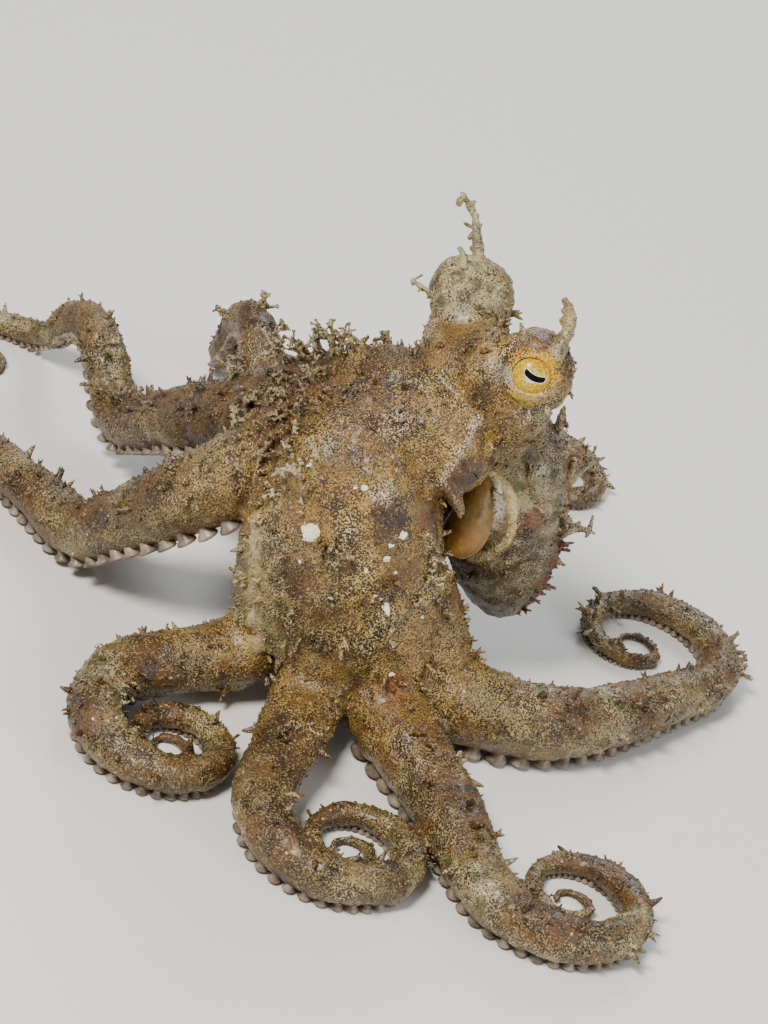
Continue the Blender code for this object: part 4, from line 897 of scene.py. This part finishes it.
for place, height, count in BUSHES:
    root, normal = rooted(place)
    root_places.append(root)
    for _ in range(count):
        axis = (normal + UP * 0.8 + Vector(rng.normal(0.0, 0.45, 3))).normalized()
        start = root - axis * 0.5 * MM + Vector(rng.normal(0.0, 0.5, 3)) * MM
        width = rng.uniform(0.34, 0.44) * min(1.0, 0.5 + height / 8.0) * MM
        grow_frond(start, axis, 0.46 * height * rng.uniform(0.7, 1.0) * MM, width, 2 if height > 3.5 else 1)
tall_papillae = add_tubes(stems, 8)
tall_papillae.name = "papillae_tall"
apply_modifier(tall_papillae, "REMESH", mode="VOXEL", voxel_size=FROND_GRAIN)
apply_modifier(tall_papillae, "SMOOTH", factor=0.5, iterations=3)
points, normals = read_points(tall_papillae.data), read_normals(tall_papillae.data)
relief = np.array([noise.noise(Vector(point) / (0.7 * MM)) for point in points]) * 0.2 * MM
points += normals * relief[:, None]
tall_papillae.data.vertices.foreach_set("co", points.ravel())
thin_out(tall_papillae, FROND_LIMIT)
bpy.ops.object.shade_smooth()
points = read_points(tall_papillae.data)
marks = marks_at(points)
marks[:, COOL] = np.maximum(marks[:, COOL], 0.75)
marks[:, BARE] = np.maximum(marks[:, BARE], 0.5)
marks[:, DARK_AND_SHADE] *= 0.5
marks[:, RUST_AND_SHADE] *= 0.4
on_front = np.clip((50.0 * MM - points[:, 2]) / (4.0 * MM), 0.0, 1.0) * (points[:, 0] > -6.0 * MM)
marks[:, PALE] = np.maximum(marks[:, PALE], 0.12 + 0.25 * on_front)
keep_marks(tall_papillae.data, marks)

# The coat's places. The arms are laid out side by side as strips, and the body as one more strip,
# so that what grows on the skin can be found by where its root lies.
arm_names = list(ARMS)


def tree_of(points):
    """A search tree that finds the nearest of some points."""
    tree = KDTree(len(points))
    for number, point in enumerate(points):
        tree.insert(point, number)
    tree.balance()
    return tree


centres = tree_of([point for line in paths.values() for point in line])
spots_of = []
for number, (arm_name, line) in enumerate(paths.items()):
    for along in (step * PATH_STEP for step in range(len(line))):
        spots_of.append((number, along, arm_frame(ARMS[arm_name], line, along)))


def place_on_body(point):
    """Which arm a point lies on, or 8 for the body, how far along, and its angle from the suckers."""
    _, index, away = centres.find(point)
    number, along, (middle, tangent, down, side) = spots_of[index]
    if away > 1.3 * arm_radius(ARMS[arm_names[number]], along) + 0.5 * MM or along < 24.0 * MM:
        return 8, point.z, math.atan2(point.y, point.x), tangent
    out = point - middle
    return number, along, math.atan2(out.dot(side), out.dot(down)), tangent


def unwrapped(number, along, angle):
    """A point of the strips, in the unit square."""
    turn = (angle / (2.0 * math.pi)) % 1.0
    if number == 8:
        return 0.02 + 0.96 * turn, 0.82 + 0.16 * min(max(along / (80.0 * MM), 0.0), 1.0)
    share = along / (ARMS[arm_names[number]]["length"] * MM)
    return 0.02 + 0.96 * share, (number + 0.05 + 0.9 * turn) / 10.0


def sheet_from(name, points, faces, patches, marks):
    """A mesh of many stamped pieces with its bake map and its markings."""
    mesh = bpy.data.meshes.new(name)
    mesh.vertices.add(len(points))
    mesh.vertices.foreach_set("co", points.ravel())
    mesh.loops.add(faces.size)
    mesh.loops.foreach_set("vertex_index", faces.ravel())
    mesh.polygons.add(len(faces))
    mesh.polygons.foreach_set("loop_start", np.arange(0, faces.size, 3))
    mesh.update(calc_edges=True)
    chart = mesh.uv_layers.new(name="OFBake")
    chart.data.foreach_set("uv", patches[faces.ravel()].ravel())
    keep_marks(mesh, marks)
    obj = bpy.data.objects.new(name, mesh)
    bpy.context.scene.collection.objects.link(obj)
    mesh.shade_smooth()
    return obj


PATCH = 0.003


def stamp(name, kinds, roots, turns, sizes, lift):
    """Copies modelled pieces to their roots. kinds are (points, faces) with Z outwards, in mm."""
    all_points, all_faces, all_patches, all_marks, first = [], [], [], [], 0
    root_marks = marks_at(np.array(roots))
    for number, (root, turn, size) in enumerate(zip(roots, turns, sizes)):
        points, faces = kinds[number % len(kinds)]
        placed = np.array(root) + points * size @ np.array(turn).T
        all_points.append(placed)
        all_faces.append(faces + first)
        first += len(points)
        corner = np.array(unwrapped(*place_on_body(Vector(root))[:3]))
        around = np.arctan2(points[:, 1], points[:, 0]) / (2.0 * math.pi) + 0.5
        height = np.clip(points[:, 2] / max(points[:, 2].max(), 1e-6), 0.0, 1.0)
        all_patches.append(corner + PATCH * (np.stack([around, height], axis=1) - 0.5))
        marks = np.repeat(root_marks[number][None], len(points), axis=0)
        marks[:, PALE] = np.maximum(marks[:, PALE], lift * height)
        all_marks.append(marks)
    joined = [np.concatenate(parts) for parts in (all_points, all_faces, all_patches, all_marks)]
    return sheet_from(name, *joined)


def turn_to(direction, spin):
    """Turns Z to a direction after a spin about it."""
    return direction.to_track_quat("Z", "Y").to_matrix() @ Matrix.Rotation(spin, 3, "Z")


chart = tall_papillae.data.uv_layers.new(name="OFBake")
frond_roots = tree_of(root_places)
flat = []
for vert in tall_papillae.data.vertices:
    root = frond_roots.find(vert.co)[0]
    away = (vert.co - root) / (12.0 * MM)
    corner = unwrapped(*place_on_body(root)[:3])
    across = PATCH * max(min(away.x + away.y, 0.5), -0.5)
    upwards = PATCH * max(min(away.z, 0.5), -0.5)
    flat.append((corner[0] + across, corner[1] + upwards))
corners = np.empty(len(tall_papillae.data.loops), dtype=int)
tall_papillae.data.loops.foreach_get("vertex_index", corners)
chart.data.foreach_set("uv", np.array(flat)[corners].ravel())
set_down(tall_papillae, frond_finish, "skin")

# The small papillae and the grain of the skin. Pegs, forked and knobbed fronds a millimetre or two
# high, and far more numerous warty grains, modelled once each and set all over but under the arms.
def as_arrays(obj):
    """Triangulates a small piece, returns its points and its triangles, and removes it."""
    apply_modifier(obj, "TRIANGULATE")
    points = read_points(obj.data)
    faces = np.array([face.vertices[:] for face in obj.data.polygons])
    bpy.data.objects.remove(obj)
    return points, faces


def modelled(stems, grain, limit):
    """Fuses stems into one small piece and returns its points, in mm, and its triangles."""
    lines = [([Vector(spot[:3]) * MM for spot in stem], [spot[3] * MM for spot in stem]) for stem in stems]
    obj = add_tubes(lines, 8)
    apply_modifier(obj, "REMESH", mode="VOXEL", voxel_size=grain * MM)
    apply_modifier(obj, "SMOOTH", factor=0.5, iterations=2)
    thin_out(obj, limit)
    points, faces = as_arrays(obj)
    return points / MM, faces


PEG = [((0, 0, -0.35, 0.42), (0, 0, 0.1, 0.3), (0.05, 0, 0.6, 0.2), (0.16, 0.05, 1.0, 0.1))]
FORK = [((0, 0, -0.35, 0.36), (0, 0, 0.15, 0.26), (0.03, 0, 0.5, 0.2)),
        ((0.03, 0, 0.45, 0.18), (0.2, 0.06, 0.75, 0.14), (0.26, 0.1, 1.05, 0.08)),
        ((0.03, 0, 0.45, 0.16), (-0.18, -0.05, 0.7, 0.12), (-0.3, -0.02, 0.92, 0.07))]
KNOB = [((0, 0, -0.35, 0.34), (0, 0, 0.2, 0.2), (0.06, 0.02, 0.6, 0.15), (0.1, 0.05, 0.9, 0.2),
         (0.1, 0.05, 1.02, 0.12)),
        ((0.02, 0, 0.4, 0.12), (0.24, 0.1, 0.5, 0.1)), ((0.03, 0, 0.62, 0.12), (-0.18, 0.12, 0.74, 0.09)),
        ((0.0, 0, 0.25, 0.12), (-0.1, -0.26, 0.36, 0.09))]
TUFT = [((0, 0, -0.35, 0.4), (0, 0, 0.2, 0.26))] + [
    ((0, 0, 0.1, 0.2), (0.22 * math.cos(2.1 * k), 0.22 * math.sin(2.1 * k), 0.5, 0.13),
     (0.4 * math.cos(2.1 * k + 0.3), 0.4 * math.sin(2.1 * k + 0.3), 0.95 - 0.1 * k, 0.07)) for k in range(4)]
FORM_LIMITS = ((PEG, 40), (FORK, 64), (KNOB, 64), (PEG, 40), (TUFT, 80))
forms = [modelled(stems, 0.1, limit) for stems, limit in FORM_LIMITS]
nothing_selected()
bpy.ops.mesh.primitive_uv_sphere_add(segments=6, ring_count=4, radius=0.5)
wart_points, wart_faces = as_arrays(bpy.context.object)
wart_points = wart_points * np.array((1.15, 1.15, 0.95)) + np.array((0.0, 0.0, 0.05))

corners = (read_points(skin.data) - np.array(UNDER_EYES))[read_triangles(skin.data)]
crossed = np.cross(corners[:, 1] - corners[:, 0], corners[:, 2] - corners[:, 0])
areas = np.linalg.norm(crossed, axis=1) / 2.0
facing = crossed / np.maximum(2.0 * areas, 1e-15)[:, None]
middles = corners.mean(axis=1)
located = [place_on_body(Vector(middle)) for middle in middles]
on_body = np.array([number == 8 for number, *_ in located])
from_suckers = np.abs(np.array([angle for _, _, angle, _ in located]))
fair = np.where(on_body, facing[:, 2] > -0.45, from_suckers > 1.45)
eye_gap = np.min(np.linalg.norm(middles[:, None] - lid_centres[None], axis=2), axis=1)
fair = fair * np.clip((eye_gap - 5.8 * MM) / (2.0 * MM), 0.0, 1.0)
fair = fair * np.clip((line_distance(middles, COLLAR) - 2.2 * MM) / (1.0 * MM), 0.0, 1.0)
fair = fair * np.clip((middles[:, 2] + 2.0 * MM * facing[:, 2] - 0.4 * MM) / (1.0 * MM), 0.0, 1.0)
shaggy = np.array([noise.noise(Vector(middle) / (8.0 * MM)) for middle in middles])
front = np.exp(-np.sum(((middles / MM - np.array((10.0, -20.0, 47.0))) / 10.0) ** 2, axis=1))


def scatter(count, weight, apart):
    """Random places on the skin by a weight, with their outward direction, kept apart."""
    chance = areas * weight
    picked = rng.choice(len(areas), size=count, p=chance / chance.sum())
    first, second = rng.random(count), rng.random(count)
    over = first + second > 1.0
    first[over], second[over] = 1.0 - first[over], 1.0 - second[over]
    a, b, c = corners[picked].transpose(1, 0, 2)
    spots = a + first[:, None] * (b - a) + second[:, None] * (c - a)
    kept, taken = [], {}
    for number, spot in enumerate(spots):
        key = tuple((spot / apart).astype(int))
        if taken.setdefault(key, number) == number:
            kept.append(number)
    return spots[kept], facing[picked[kept]], [located[index] for index in picked[kept]]


def grow(name, kinds, weight, material, count, apart, low, high, lift):
    """Sets count pieces or fewer on the skin, low to high in size, in mm. lift makes their tops paler."""
    roots, outward, where = scatter(count, weight, apart)
    turns, sizes = [], []
    for root, out, (number, _, _, tangent) in zip(roots, outward, where):
        lie = tangent if number != 8 else UP * 0.8
        direction = Vector(out) + lie * rng.uniform(0.0, 0.45) + Vector(rng.normal(0.0, 0.16, 3))
        turns.append(turn_to(direction.normalized(), rng.uniform(0.0, 2.0 * math.pi)))
        sizes.append((low + (high - low) * rng.random() ** 2.2) * MM)
    piece = stamp(name, kinds, roots, turns, sizes, lift)
    set_down(piece, material, "skin")


ridge = np.exp(-np.sum(((middles / MM - np.array((-14.0, -23.0, 45.0))) / 11.0) ** 2, axis=1))
shag = fair * (np.clip(0.8 + 2.6 * shaggy, 0.08, 2.4) * (1.0 - 0.9 * front) + 5.0 * ridge)
grow("papillae_small", forms, shag, frond_finish, count=1900, apart=1.1 * MM, low=0.7, high=2.4, lift=0.22)
on_right = middles[:, 0] <= -14.0 * MM
for part, share in (
    ("body", on_body), ("arms_left", ~on_body & ~on_right), ("arms_right", ~on_body & on_right),
):
    warty = fair * share * np.clip(0.9 + shaggy, 0.2, 1.6) * (1.0 - 0.6 * front)
    grow("skin_grain_" + part, [(wart_points, wart_faces)], warty, skin_finish,
         count=5200, apart=0.45 * MM, low=0.22, high=0.62, lift=0.10)

# The suckers. Two rows of soft cups under each arm, as wide as the arm allows and smaller
# towards its tip, each with a flared rim round a deep pit, on a short stalk.
SUCKER_PROFILE = ((0.60, -1.3), (0.66, -0.62), (0.96, -0.34), (1.02, -0.12), (0.84, 0.0), (0.50, -0.22),
                  (0.0, -0.50))
nothing_selected()
stalk, foot = SUCKER_PROFILE[0]
bpy.ops.mesh.primitive_circle_add(vertices=12, radius=stalk, location=(0.0, 0.0, foot))
cup = bpy.context.object
bpy.ops.object.transform_apply(location=True, rotation=False, scale=False)
bpy.ops.object.mode_set(mode="EDIT")
bpy.ops.mesh.select_all(action="SELECT")
for (width, depth), (wider, higher) in zip(SUCKER_PROFILE, SUCKER_PROFILE[1:]):
    bpy.ops.mesh.extrude_region_move(TRANSFORM_OT_translate={"value": (0.0, 0.0, higher - depth)})
    share = max(wider, 0.001) / width
    bpy.ops.transform.resize(value=(share, share, 1.0), center_override=(0.0, 0.0, 0.0))
bpy.ops.mesh.select_all(action="SELECT")
bpy.ops.mesh.remove_doubles(threshold=0.01)
bpy.ops.mesh.normals_make_consistent(inside=False)
bpy.ops.object.mode_set(mode="OBJECT")
cup_form = as_arrays(cup)
roots, turns, sizes = [], [], []
for arm_name, arm in ARMS.items():
    along = 20.0 * MM
    while along < 0.985 * arm["length"] * MM:
        radius = arm_radius(arm, along)
        for row in (-1.0, 1.0):
            point, tangent, down, side = arm_frame(arm, paths[arm_name], along + row * 0.14 * radius)
            size = 0.27 * radius + 0.06 * MM
            rim = point + down * 1.08 * radius + side * row * 0.46 * radius
            rim.z = max(rim.z, 0.04 * MM + size * math.sqrt(max(1.0 - down.z**2, 0.0)))
            roots.append(rim)
            turns.append(turn_to(down, rng.uniform(0.0, 1.0)))
            sizes.append(size)
        along += 0.56 * radius + 0.12 * MM
suckers = stamp("suckers", [cup_form], roots, turns, sizes, 0.0)
cup_finish, tree, shader = new_finish("soft lilac-grey sucker flesh", {
    "Roughness": 0.42, "Subsurface Weight": 0.3, "Subsurface Radius": (1.0 * MM, 0.6 * MM, 0.5 * MM),
    "Subsurface Scale": 1.0})
place = add_node(tree, "ShaderNodeTexCoord").outputs["Object"]
cloud = add_node(tree, "ShaderNodeTexNoise", {"Vector": place, "Scale": per(2.5), "Detail": 4.0})
lilac = add_node(tree, "ShaderNodeValToRGB", {"Fac": cloud.outputs["Fac"]}, (
    (0.35, linear("#54483C")), (0.5, linear("#766858")), (0.68, linear("#978A7A"))))
tree.links.new(lilac.outputs["Color"], shader.inputs["Base Color"])
set_down(suckers, cup_finish, "skin")

# The funnel. A soft amber tube that comes out between the neck and the mantle on the left side and
# hangs down, with a neck, a round lobe and a drawn-in mouth. Thin flesh that glows a little.
FUNNEL_ROOT = Vector((3.5, 3.0, 41.5)) * MM
FUNNEL_BEND = Vector((8.9, 0.3, 40.2)) * MM
FUNNEL_MOUTH = Vector((7.7, -1.1, 30.8)) * MM
FUNNEL_RADIUS = 3.5 * MM
FUNNEL_WALL = 0.7 * MM
FUNNEL_STEPS = 32
BORE_FROM = 14
line, widths = [], []
for step in range(FUNNEL_STEPS + 1):
    t = step / FUNNEL_STEPS
    line.append(FUNNEL_ROOT * (1 - t) ** 2 + FUNNEL_BEND * 2 * t * (1 - t) + FUNNEL_MOUTH * t**2)
    swell = 0.94 - 0.10 * smoothstep(2.5 * t) + 0.18 * smoothstep((t - 0.4) / 0.35)
    widths.append(FUNNEL_RADIUS * (swell - 0.42 * max((t - 0.8) / 0.2, 0.0) ** 2))
funnel = add_tube(line, widths, 28)
funnel.name = "funnel_tube"
ahead = line[-1] + (line[-1] - line[-2]) * 2.0
hollow = [width - FUNNEL_WALL for width in widths[BORE_FROM:]]
bore = add_tube([*line[BORE_FROM:], ahead], [*hollow, widths[-1] - 0.5 * FUNNEL_WALL], 28)
apply_boolean(funnel, bore, "DIFFERENCE")
apply_modifier(funnel, "REMESH", mode="VOXEL", voxel_size=0.28 * MM)
apply_modifier(funnel, "SMOOTH", factor=0.5, iterations=6)
bpy.ops.object.shade_smooth()
flesh_finish, tree, shader = new_finish("wet amber funnel flesh", {
    "Roughness": 0.42, "Subsurface Weight": 0.35, "Subsurface Radius": (2.0 * MM, 1.0 * MM, 0.4 * MM),
    "Subsurface Scale": 1.0})
place = add_node(tree, "ShaderNodeTexCoord").outputs["Object"]
cloud = add_node(tree, "ShaderNodeTexNoise", {"Vector": place, "Scale": per(6.0), "Detail": 4.0})
amber = add_node(tree, "ShaderNodeValToRGB", {"Fac": cloud.outputs["Fac"]}, (
    (0.34, linear("#5E3E12")), (0.5, linear("#80591C")), (0.68, linear("#A07A38"))))
# Painted shade: towards the top, where the funnel runs in under the head, the amber is painted brown-grey
# with dark blotches
height = add_node(tree, "ShaderNodeSeparateXYZ", {"Vector": place}).outputs["Z"]
shaded = add_node(tree, "ShaderNodeMapRange", {"Value": height, "From Min": 36.0 * MM, "From Max": 38.5 * MM})
speck = add_node(tree, "ShaderNodeTexVoronoi", {"Vector": place, "Scale": per(0.5)})
specked = add_node(tree, "ShaderNodeValToRGB", {"Fac": speck.outputs["Distance"]}, (
    (0.26, linear("#777777")), (0.42, BLACK)))
blotch = add_node(tree, "ShaderNodeTexNoise", {"Vector": place, "Scale": per(1.5), "Detail": 4.0})
blotch = add_node(tree, "ShaderNodeValToRGB", {"Fac": blotch.outputs["Fac"]}, (
    (0.48, BLACK), (0.66, linear("#C0C0C0"))))
blotch = add_node(tree, "ShaderNodeMath", {
    0: blotch.outputs["Color"], 1: shaded.outputs["Result"]}, operation="MULTIPLY")
colour = amber.outputs["Color"]
for factor, layer in (
    (shaded.outputs["Result"], linear("#86692C")), (specked.outputs["Color"], linear("#4A2F10")),
    (blotch.outputs[0], linear("#4E3A1C")),
):
    colour = add_node(tree, "ShaderNodeMix", {0: factor, 6: colour, 7: layer}, data_type="RGBA").outputs[2]
tree.links.new(colour, shader.inputs["Base Color"])
wrinkle = add_node(tree, "ShaderNodeTexNoise", {"Vector": place, "Scale": per(1.6), "Detail": 4.0})
bump = add_node(tree, "ShaderNodeBump", {
    "Height": wrinkle.outputs["Fac"], "Strength": 0.7, "Distance": 0.5 * MM})
tree.links.new(bump.outputs["Normal"], shader.inputs["Normal"])
set_down(funnel, flesh_finish, "funnel", "funnel")

# The eyeballs. A golden iris stippled with fine dots, and a level black bar of a pupil edged in white,
# under a wet clear cover. The bar sags in the middle and has square ends. The gold runs into the
# lids' colours at its edge. Sizes are in mm from the middle of the eye's front.
PUPIL_TILT = math.radians(-9.0)
PUPIL_HALF = (1.72, 0.50)
PUPIL_EDGE = (1.84, 0.60)
PUPIL_SAG = 0.50
LENS_PATCH = ((-0.35, -0.80), (0.95, 0.38))
IRIS_CENTRE = (-0.5, 0.0)
IRIS_RADII = (2.6, 2.5)
eye_nodes = {"left": "eye_left", "right": "eye_right"}
for side, (centre, gaze) in EYES.items():
    eyeball = add_ball(centre + gaze * EYEBALL_FORWARD, (EYEBALL_RADIUS,) * 3)
    eyeball.name = "eyeball_" + side
    bpy.ops.object.shade_smooth()
    finish, tree, shader = new_finish("wet golden iris " + side, {
        "Roughness": 0.5, "Specular IOR Level": 0.05, "Coat Weight": 0.25, "Coat Roughness": 0.04})
    turn = eye_turn(gaze) @ Matrix.Rotation(PUPIL_TILT, 3, "Z")
    middle = centre + gaze * EYEBALL_FORWARD + UNDER_EYES
    straight = turn.transposed()
    place = add_node(tree, "ShaderNodeMapping", {
        "Vector": add_node(tree, "ShaderNodeTexCoord").outputs["Object"],
        "Location": -(straight @ middle) / MM, "Rotation": straight.to_euler(), "Scale": (1.0 / MM,) * 3},
        vector_type="POINT").outputs["Vector"]
    axis = add_node(tree, "ShaderNodeSeparateXYZ", {"Vector": place})
    across, up = axis.outputs["X"], axis.outputs["Y"]

    # The pupil's bar and its white edge: under 1 inside a bar with these half sizes
    squared = add_node(tree, "ShaderNodeMath", {0: across, 1: across}, operation="MULTIPLY").outputs[0]
    sag = {0: squared, 1: -PUPIL_SAG / PUPIL_HALF[0] ** 2, 2: up}
    bowed = add_node(tree, "ShaderNodeMath", sag, operation="MULTIPLY_ADD").outputs[0]
    raised = add_node(tree, "ShaderNodeMath", {0: bowed, 1: 0.5 * PUPIL_SAG}, operation="ADD").outputs[0]
    bars = []
    for half in (PUPIL_HALF, PUPIL_EDGE):
        sides = []
        for value, reach, power in ((across, half[0], 8.0), (raised, half[1], 4.0)):
            share = add_node(tree, "ShaderNodeMath", {0: value, 1: 1.0 / reach}, operation="MULTIPLY")
            share = add_node(tree, "ShaderNodeMath", {0: share.outputs[0]}, operation="ABSOLUTE").outputs[0]
            sides.append(add_node(tree, "ShaderNodeMath", {0: share, 1: power}, operation="POWER").outputs[0])
        bars.append(add_node(tree, "ShaderNodeMath", {0: sides[0], 1: sides[1]}, operation="ADD").outputs[0])
    pupil = add_node(tree, "ShaderNodeValToRGB", {"Fac": bars[0]}, ((0.75, WHITE), (0.98, BLACK)))
    edge = add_node(tree, "ShaderNodeValToRGB", {"Fac": bars[1]}, ((0.65, linear("#C8C8C8")), (0.98, BLACK)))

    # Distances from the pale patch under the pupil and from the middle of the iris
    away = []
    for spot, radii in (LENS_PATCH, (IRIS_CENTRE, IRIS_RADII)):
        moved = add_node(tree, "ShaderNodeVectorMath", {0: place, 1: (*spot, 0.0)}, operation="SUBTRACT")
        scaled = add_node(tree, "ShaderNodeVectorMath", {
            0: moved.outputs[0], 1: (1.0 / radii[0], 1.0 / radii[1], 0.0)}, operation="MULTIPLY").outputs[0]
        away.append(add_node(tree, "ShaderNodeVectorMath", {0: scaled}, operation="LENGTH").outputs["Value"])
    lens = add_node(tree, "ShaderNodeValToRGB", {"Fac": away[0]}, ((0.6, linear("#D8D8D8")), (1.0, BLACK)))
    gold = add_node(tree, "ShaderNodeValToRGB", {"Fac": away[1]}, (
        (0.30, linear("#C6B65C")), (0.62, linear("#CBB030")), (0.86, linear("#C8A824")),
        (1.1, linear("#C2A024"))))
    brow = add_node(tree, "ShaderNodeMath", {0: up, 1: 0.20, 2: 0.30}, operation="MULTIPLY_ADD")
    brow = add_node(tree, "ShaderNodeValToRGB", {"Fac": brow.outputs[0]}, (
        (0.50, BLACK), (0.76, linear("#E6E6E6"))))
    stipple = add_node(tree, "ShaderNodeTexVoronoi", {"Vector": place, "Scale": 1.0 / 0.28})
    dots = add_node(tree, "ShaderNodeValToRGB", {"Fac": stipple.outputs["Distance"]}, (
        (0.40, linear("#DDDDDD")), (0.54, BLACK)))
    cloud = add_node(tree, "ShaderNodeTexNoise", {"Vector": place, "Scale": 1.0 / 0.9, "Detail": 3.0})
    olive = add_node(tree, "ShaderNodeValToRGB", {"Fac": cloud.outputs["Fac"]}, (
        (0.46, BLACK), (0.64, linear("#C0C0C0"))))
    colour = gold.outputs["Color"]
    for factor, shade in (
        (olive.outputs["Color"], linear("#948A3C")), (brow.outputs["Color"], linear("#C48A10")),
        (dots.outputs["Color"], linear("#7A5618")), (lens.outputs["Color"], linear("#E4D8C4")),
        (edge.outputs["Color"], linear("#F4F1E8")), (pupil.outputs["Color"], linear("#06070D")),
    ):
        layer = add_node(tree, "ShaderNodeMix", {0: factor, 6: colour, 7: shade}, data_type="RGBA")
        colour = layer.outputs[2]
    tree.links.new(colour, shader.inputs["Base Color"])
    set_down(eyeball, finish, "eye", eye_nodes[side])

# The floor, the light and the camera. Soft studio light over a plain pale floor, seen as the
# photograph sees it, with the camera rolled and the near eye at its pixel there.
nothing_selected()
bpy.ops.mesh.primitive_plane_add(size=6.0, location=(0.0, 0.0, 0.0))
floor = bpy.context.object
floor.name = "floor"
floor.data.materials.append(new_finish("plain pale floor", {
    "Base Color": linear("#D9D8D5"), "Roughness": 0.8})[0])

world = bpy.data.worlds.new("studio")
bpy.context.scene.world = world
world.use_nodes = True
world.node_tree.nodes["Background"].inputs["Color"].default_value = (1.0, 0.99, 0.97, 1.0)
world.node_tree.nodes["Background"].inputs["Strength"].default_value = 0.36

CAMERA_AZIMUTH = math.radians(45.0)
CAMERA_ELEVATION = math.radians(28.0)
CAMERA_ROLL = math.radians(20.0)
CAMERA_DISTANCE = 0.48
FRAME_WIDTH = 0.1152
EYE_PIXEL = (537, 378)
IMAGE_SIZE = (768, 1024)
aim = Vector((10.7, 0.0, 65.0)) * MM + UNDER_EYES
back = Vector((
    math.sin(CAMERA_AZIMUTH) * math.cos(CAMERA_ELEVATION),
    -math.cos(CAMERA_AZIMUTH) * math.cos(CAMERA_ELEVATION),
    math.sin(CAMERA_ELEVATION),
))
level = Vector((math.cos(CAMERA_AZIMUTH), math.sin(CAMERA_AZIMUTH), 0.0))
upright = back.cross(level)
across = level * math.cos(CAMERA_ROLL) + upright * math.sin(CAMERA_ROLL)
above = upright * math.cos(CAMERA_ROLL) - level * math.sin(CAMERA_ROLL)
spot = aim + back * CAMERA_DISTANCE
nothing_selected()
bpy.ops.object.camera_add()
camera = bpy.context.object
camera.matrix_world = Matrix((
    (across.x, above.x, back.x, spot.x), (across.y, above.y, back.y, spot.y),
    (across.z, above.z, back.z, spot.z), (0.0, 0.0, 0.0, 1.0)))
camera.data.sensor_fit = "HORIZONTAL"
camera.data.sensor_width = 36.0
camera.data.lens = 36.0 * CAMERA_DISTANCE / FRAME_WIDTH
camera.data.shift_x = -(EYE_PIXEL[0] - IMAGE_SIZE[0] / 2) / IMAGE_SIZE[0]
camera.data.shift_y = (EYE_PIXEL[1] - IMAGE_SIZE[1] / 2) / IMAGE_SIZE[0]
camera.data.clip_start = 0.01
bpy.context.scene.camera = camera


def add_softbox(place, size, power, colour):
    """A round area lamp that points at the octopus."""
    nothing_selected()
    bpy.ops.object.light_add(type="AREA", location=place)
    lamp = bpy.context.object
    lamp.data.shape = "DISK"
    lamp.data.size = size
    lamp.data.energy = power
    lamp.data.color = colour
    lamp.rotation_euler = (Vector((0.0, 0.0, 0.04)) - Vector(place)).to_track_quat("-Z", "Y").to_euler()


add_softbox((0.14, -0.55, 0.75), 0.25, 13.0, (1.0, 0.95, 0.88))
add_softbox((0.75, 0.30, 0.40), 0.5, 3.5, (0.95, 0.97, 1.0))
add_softbox((-0.45, 0.45, 0.55), 0.4, 4.0, (0.92, 0.96, 1.0))
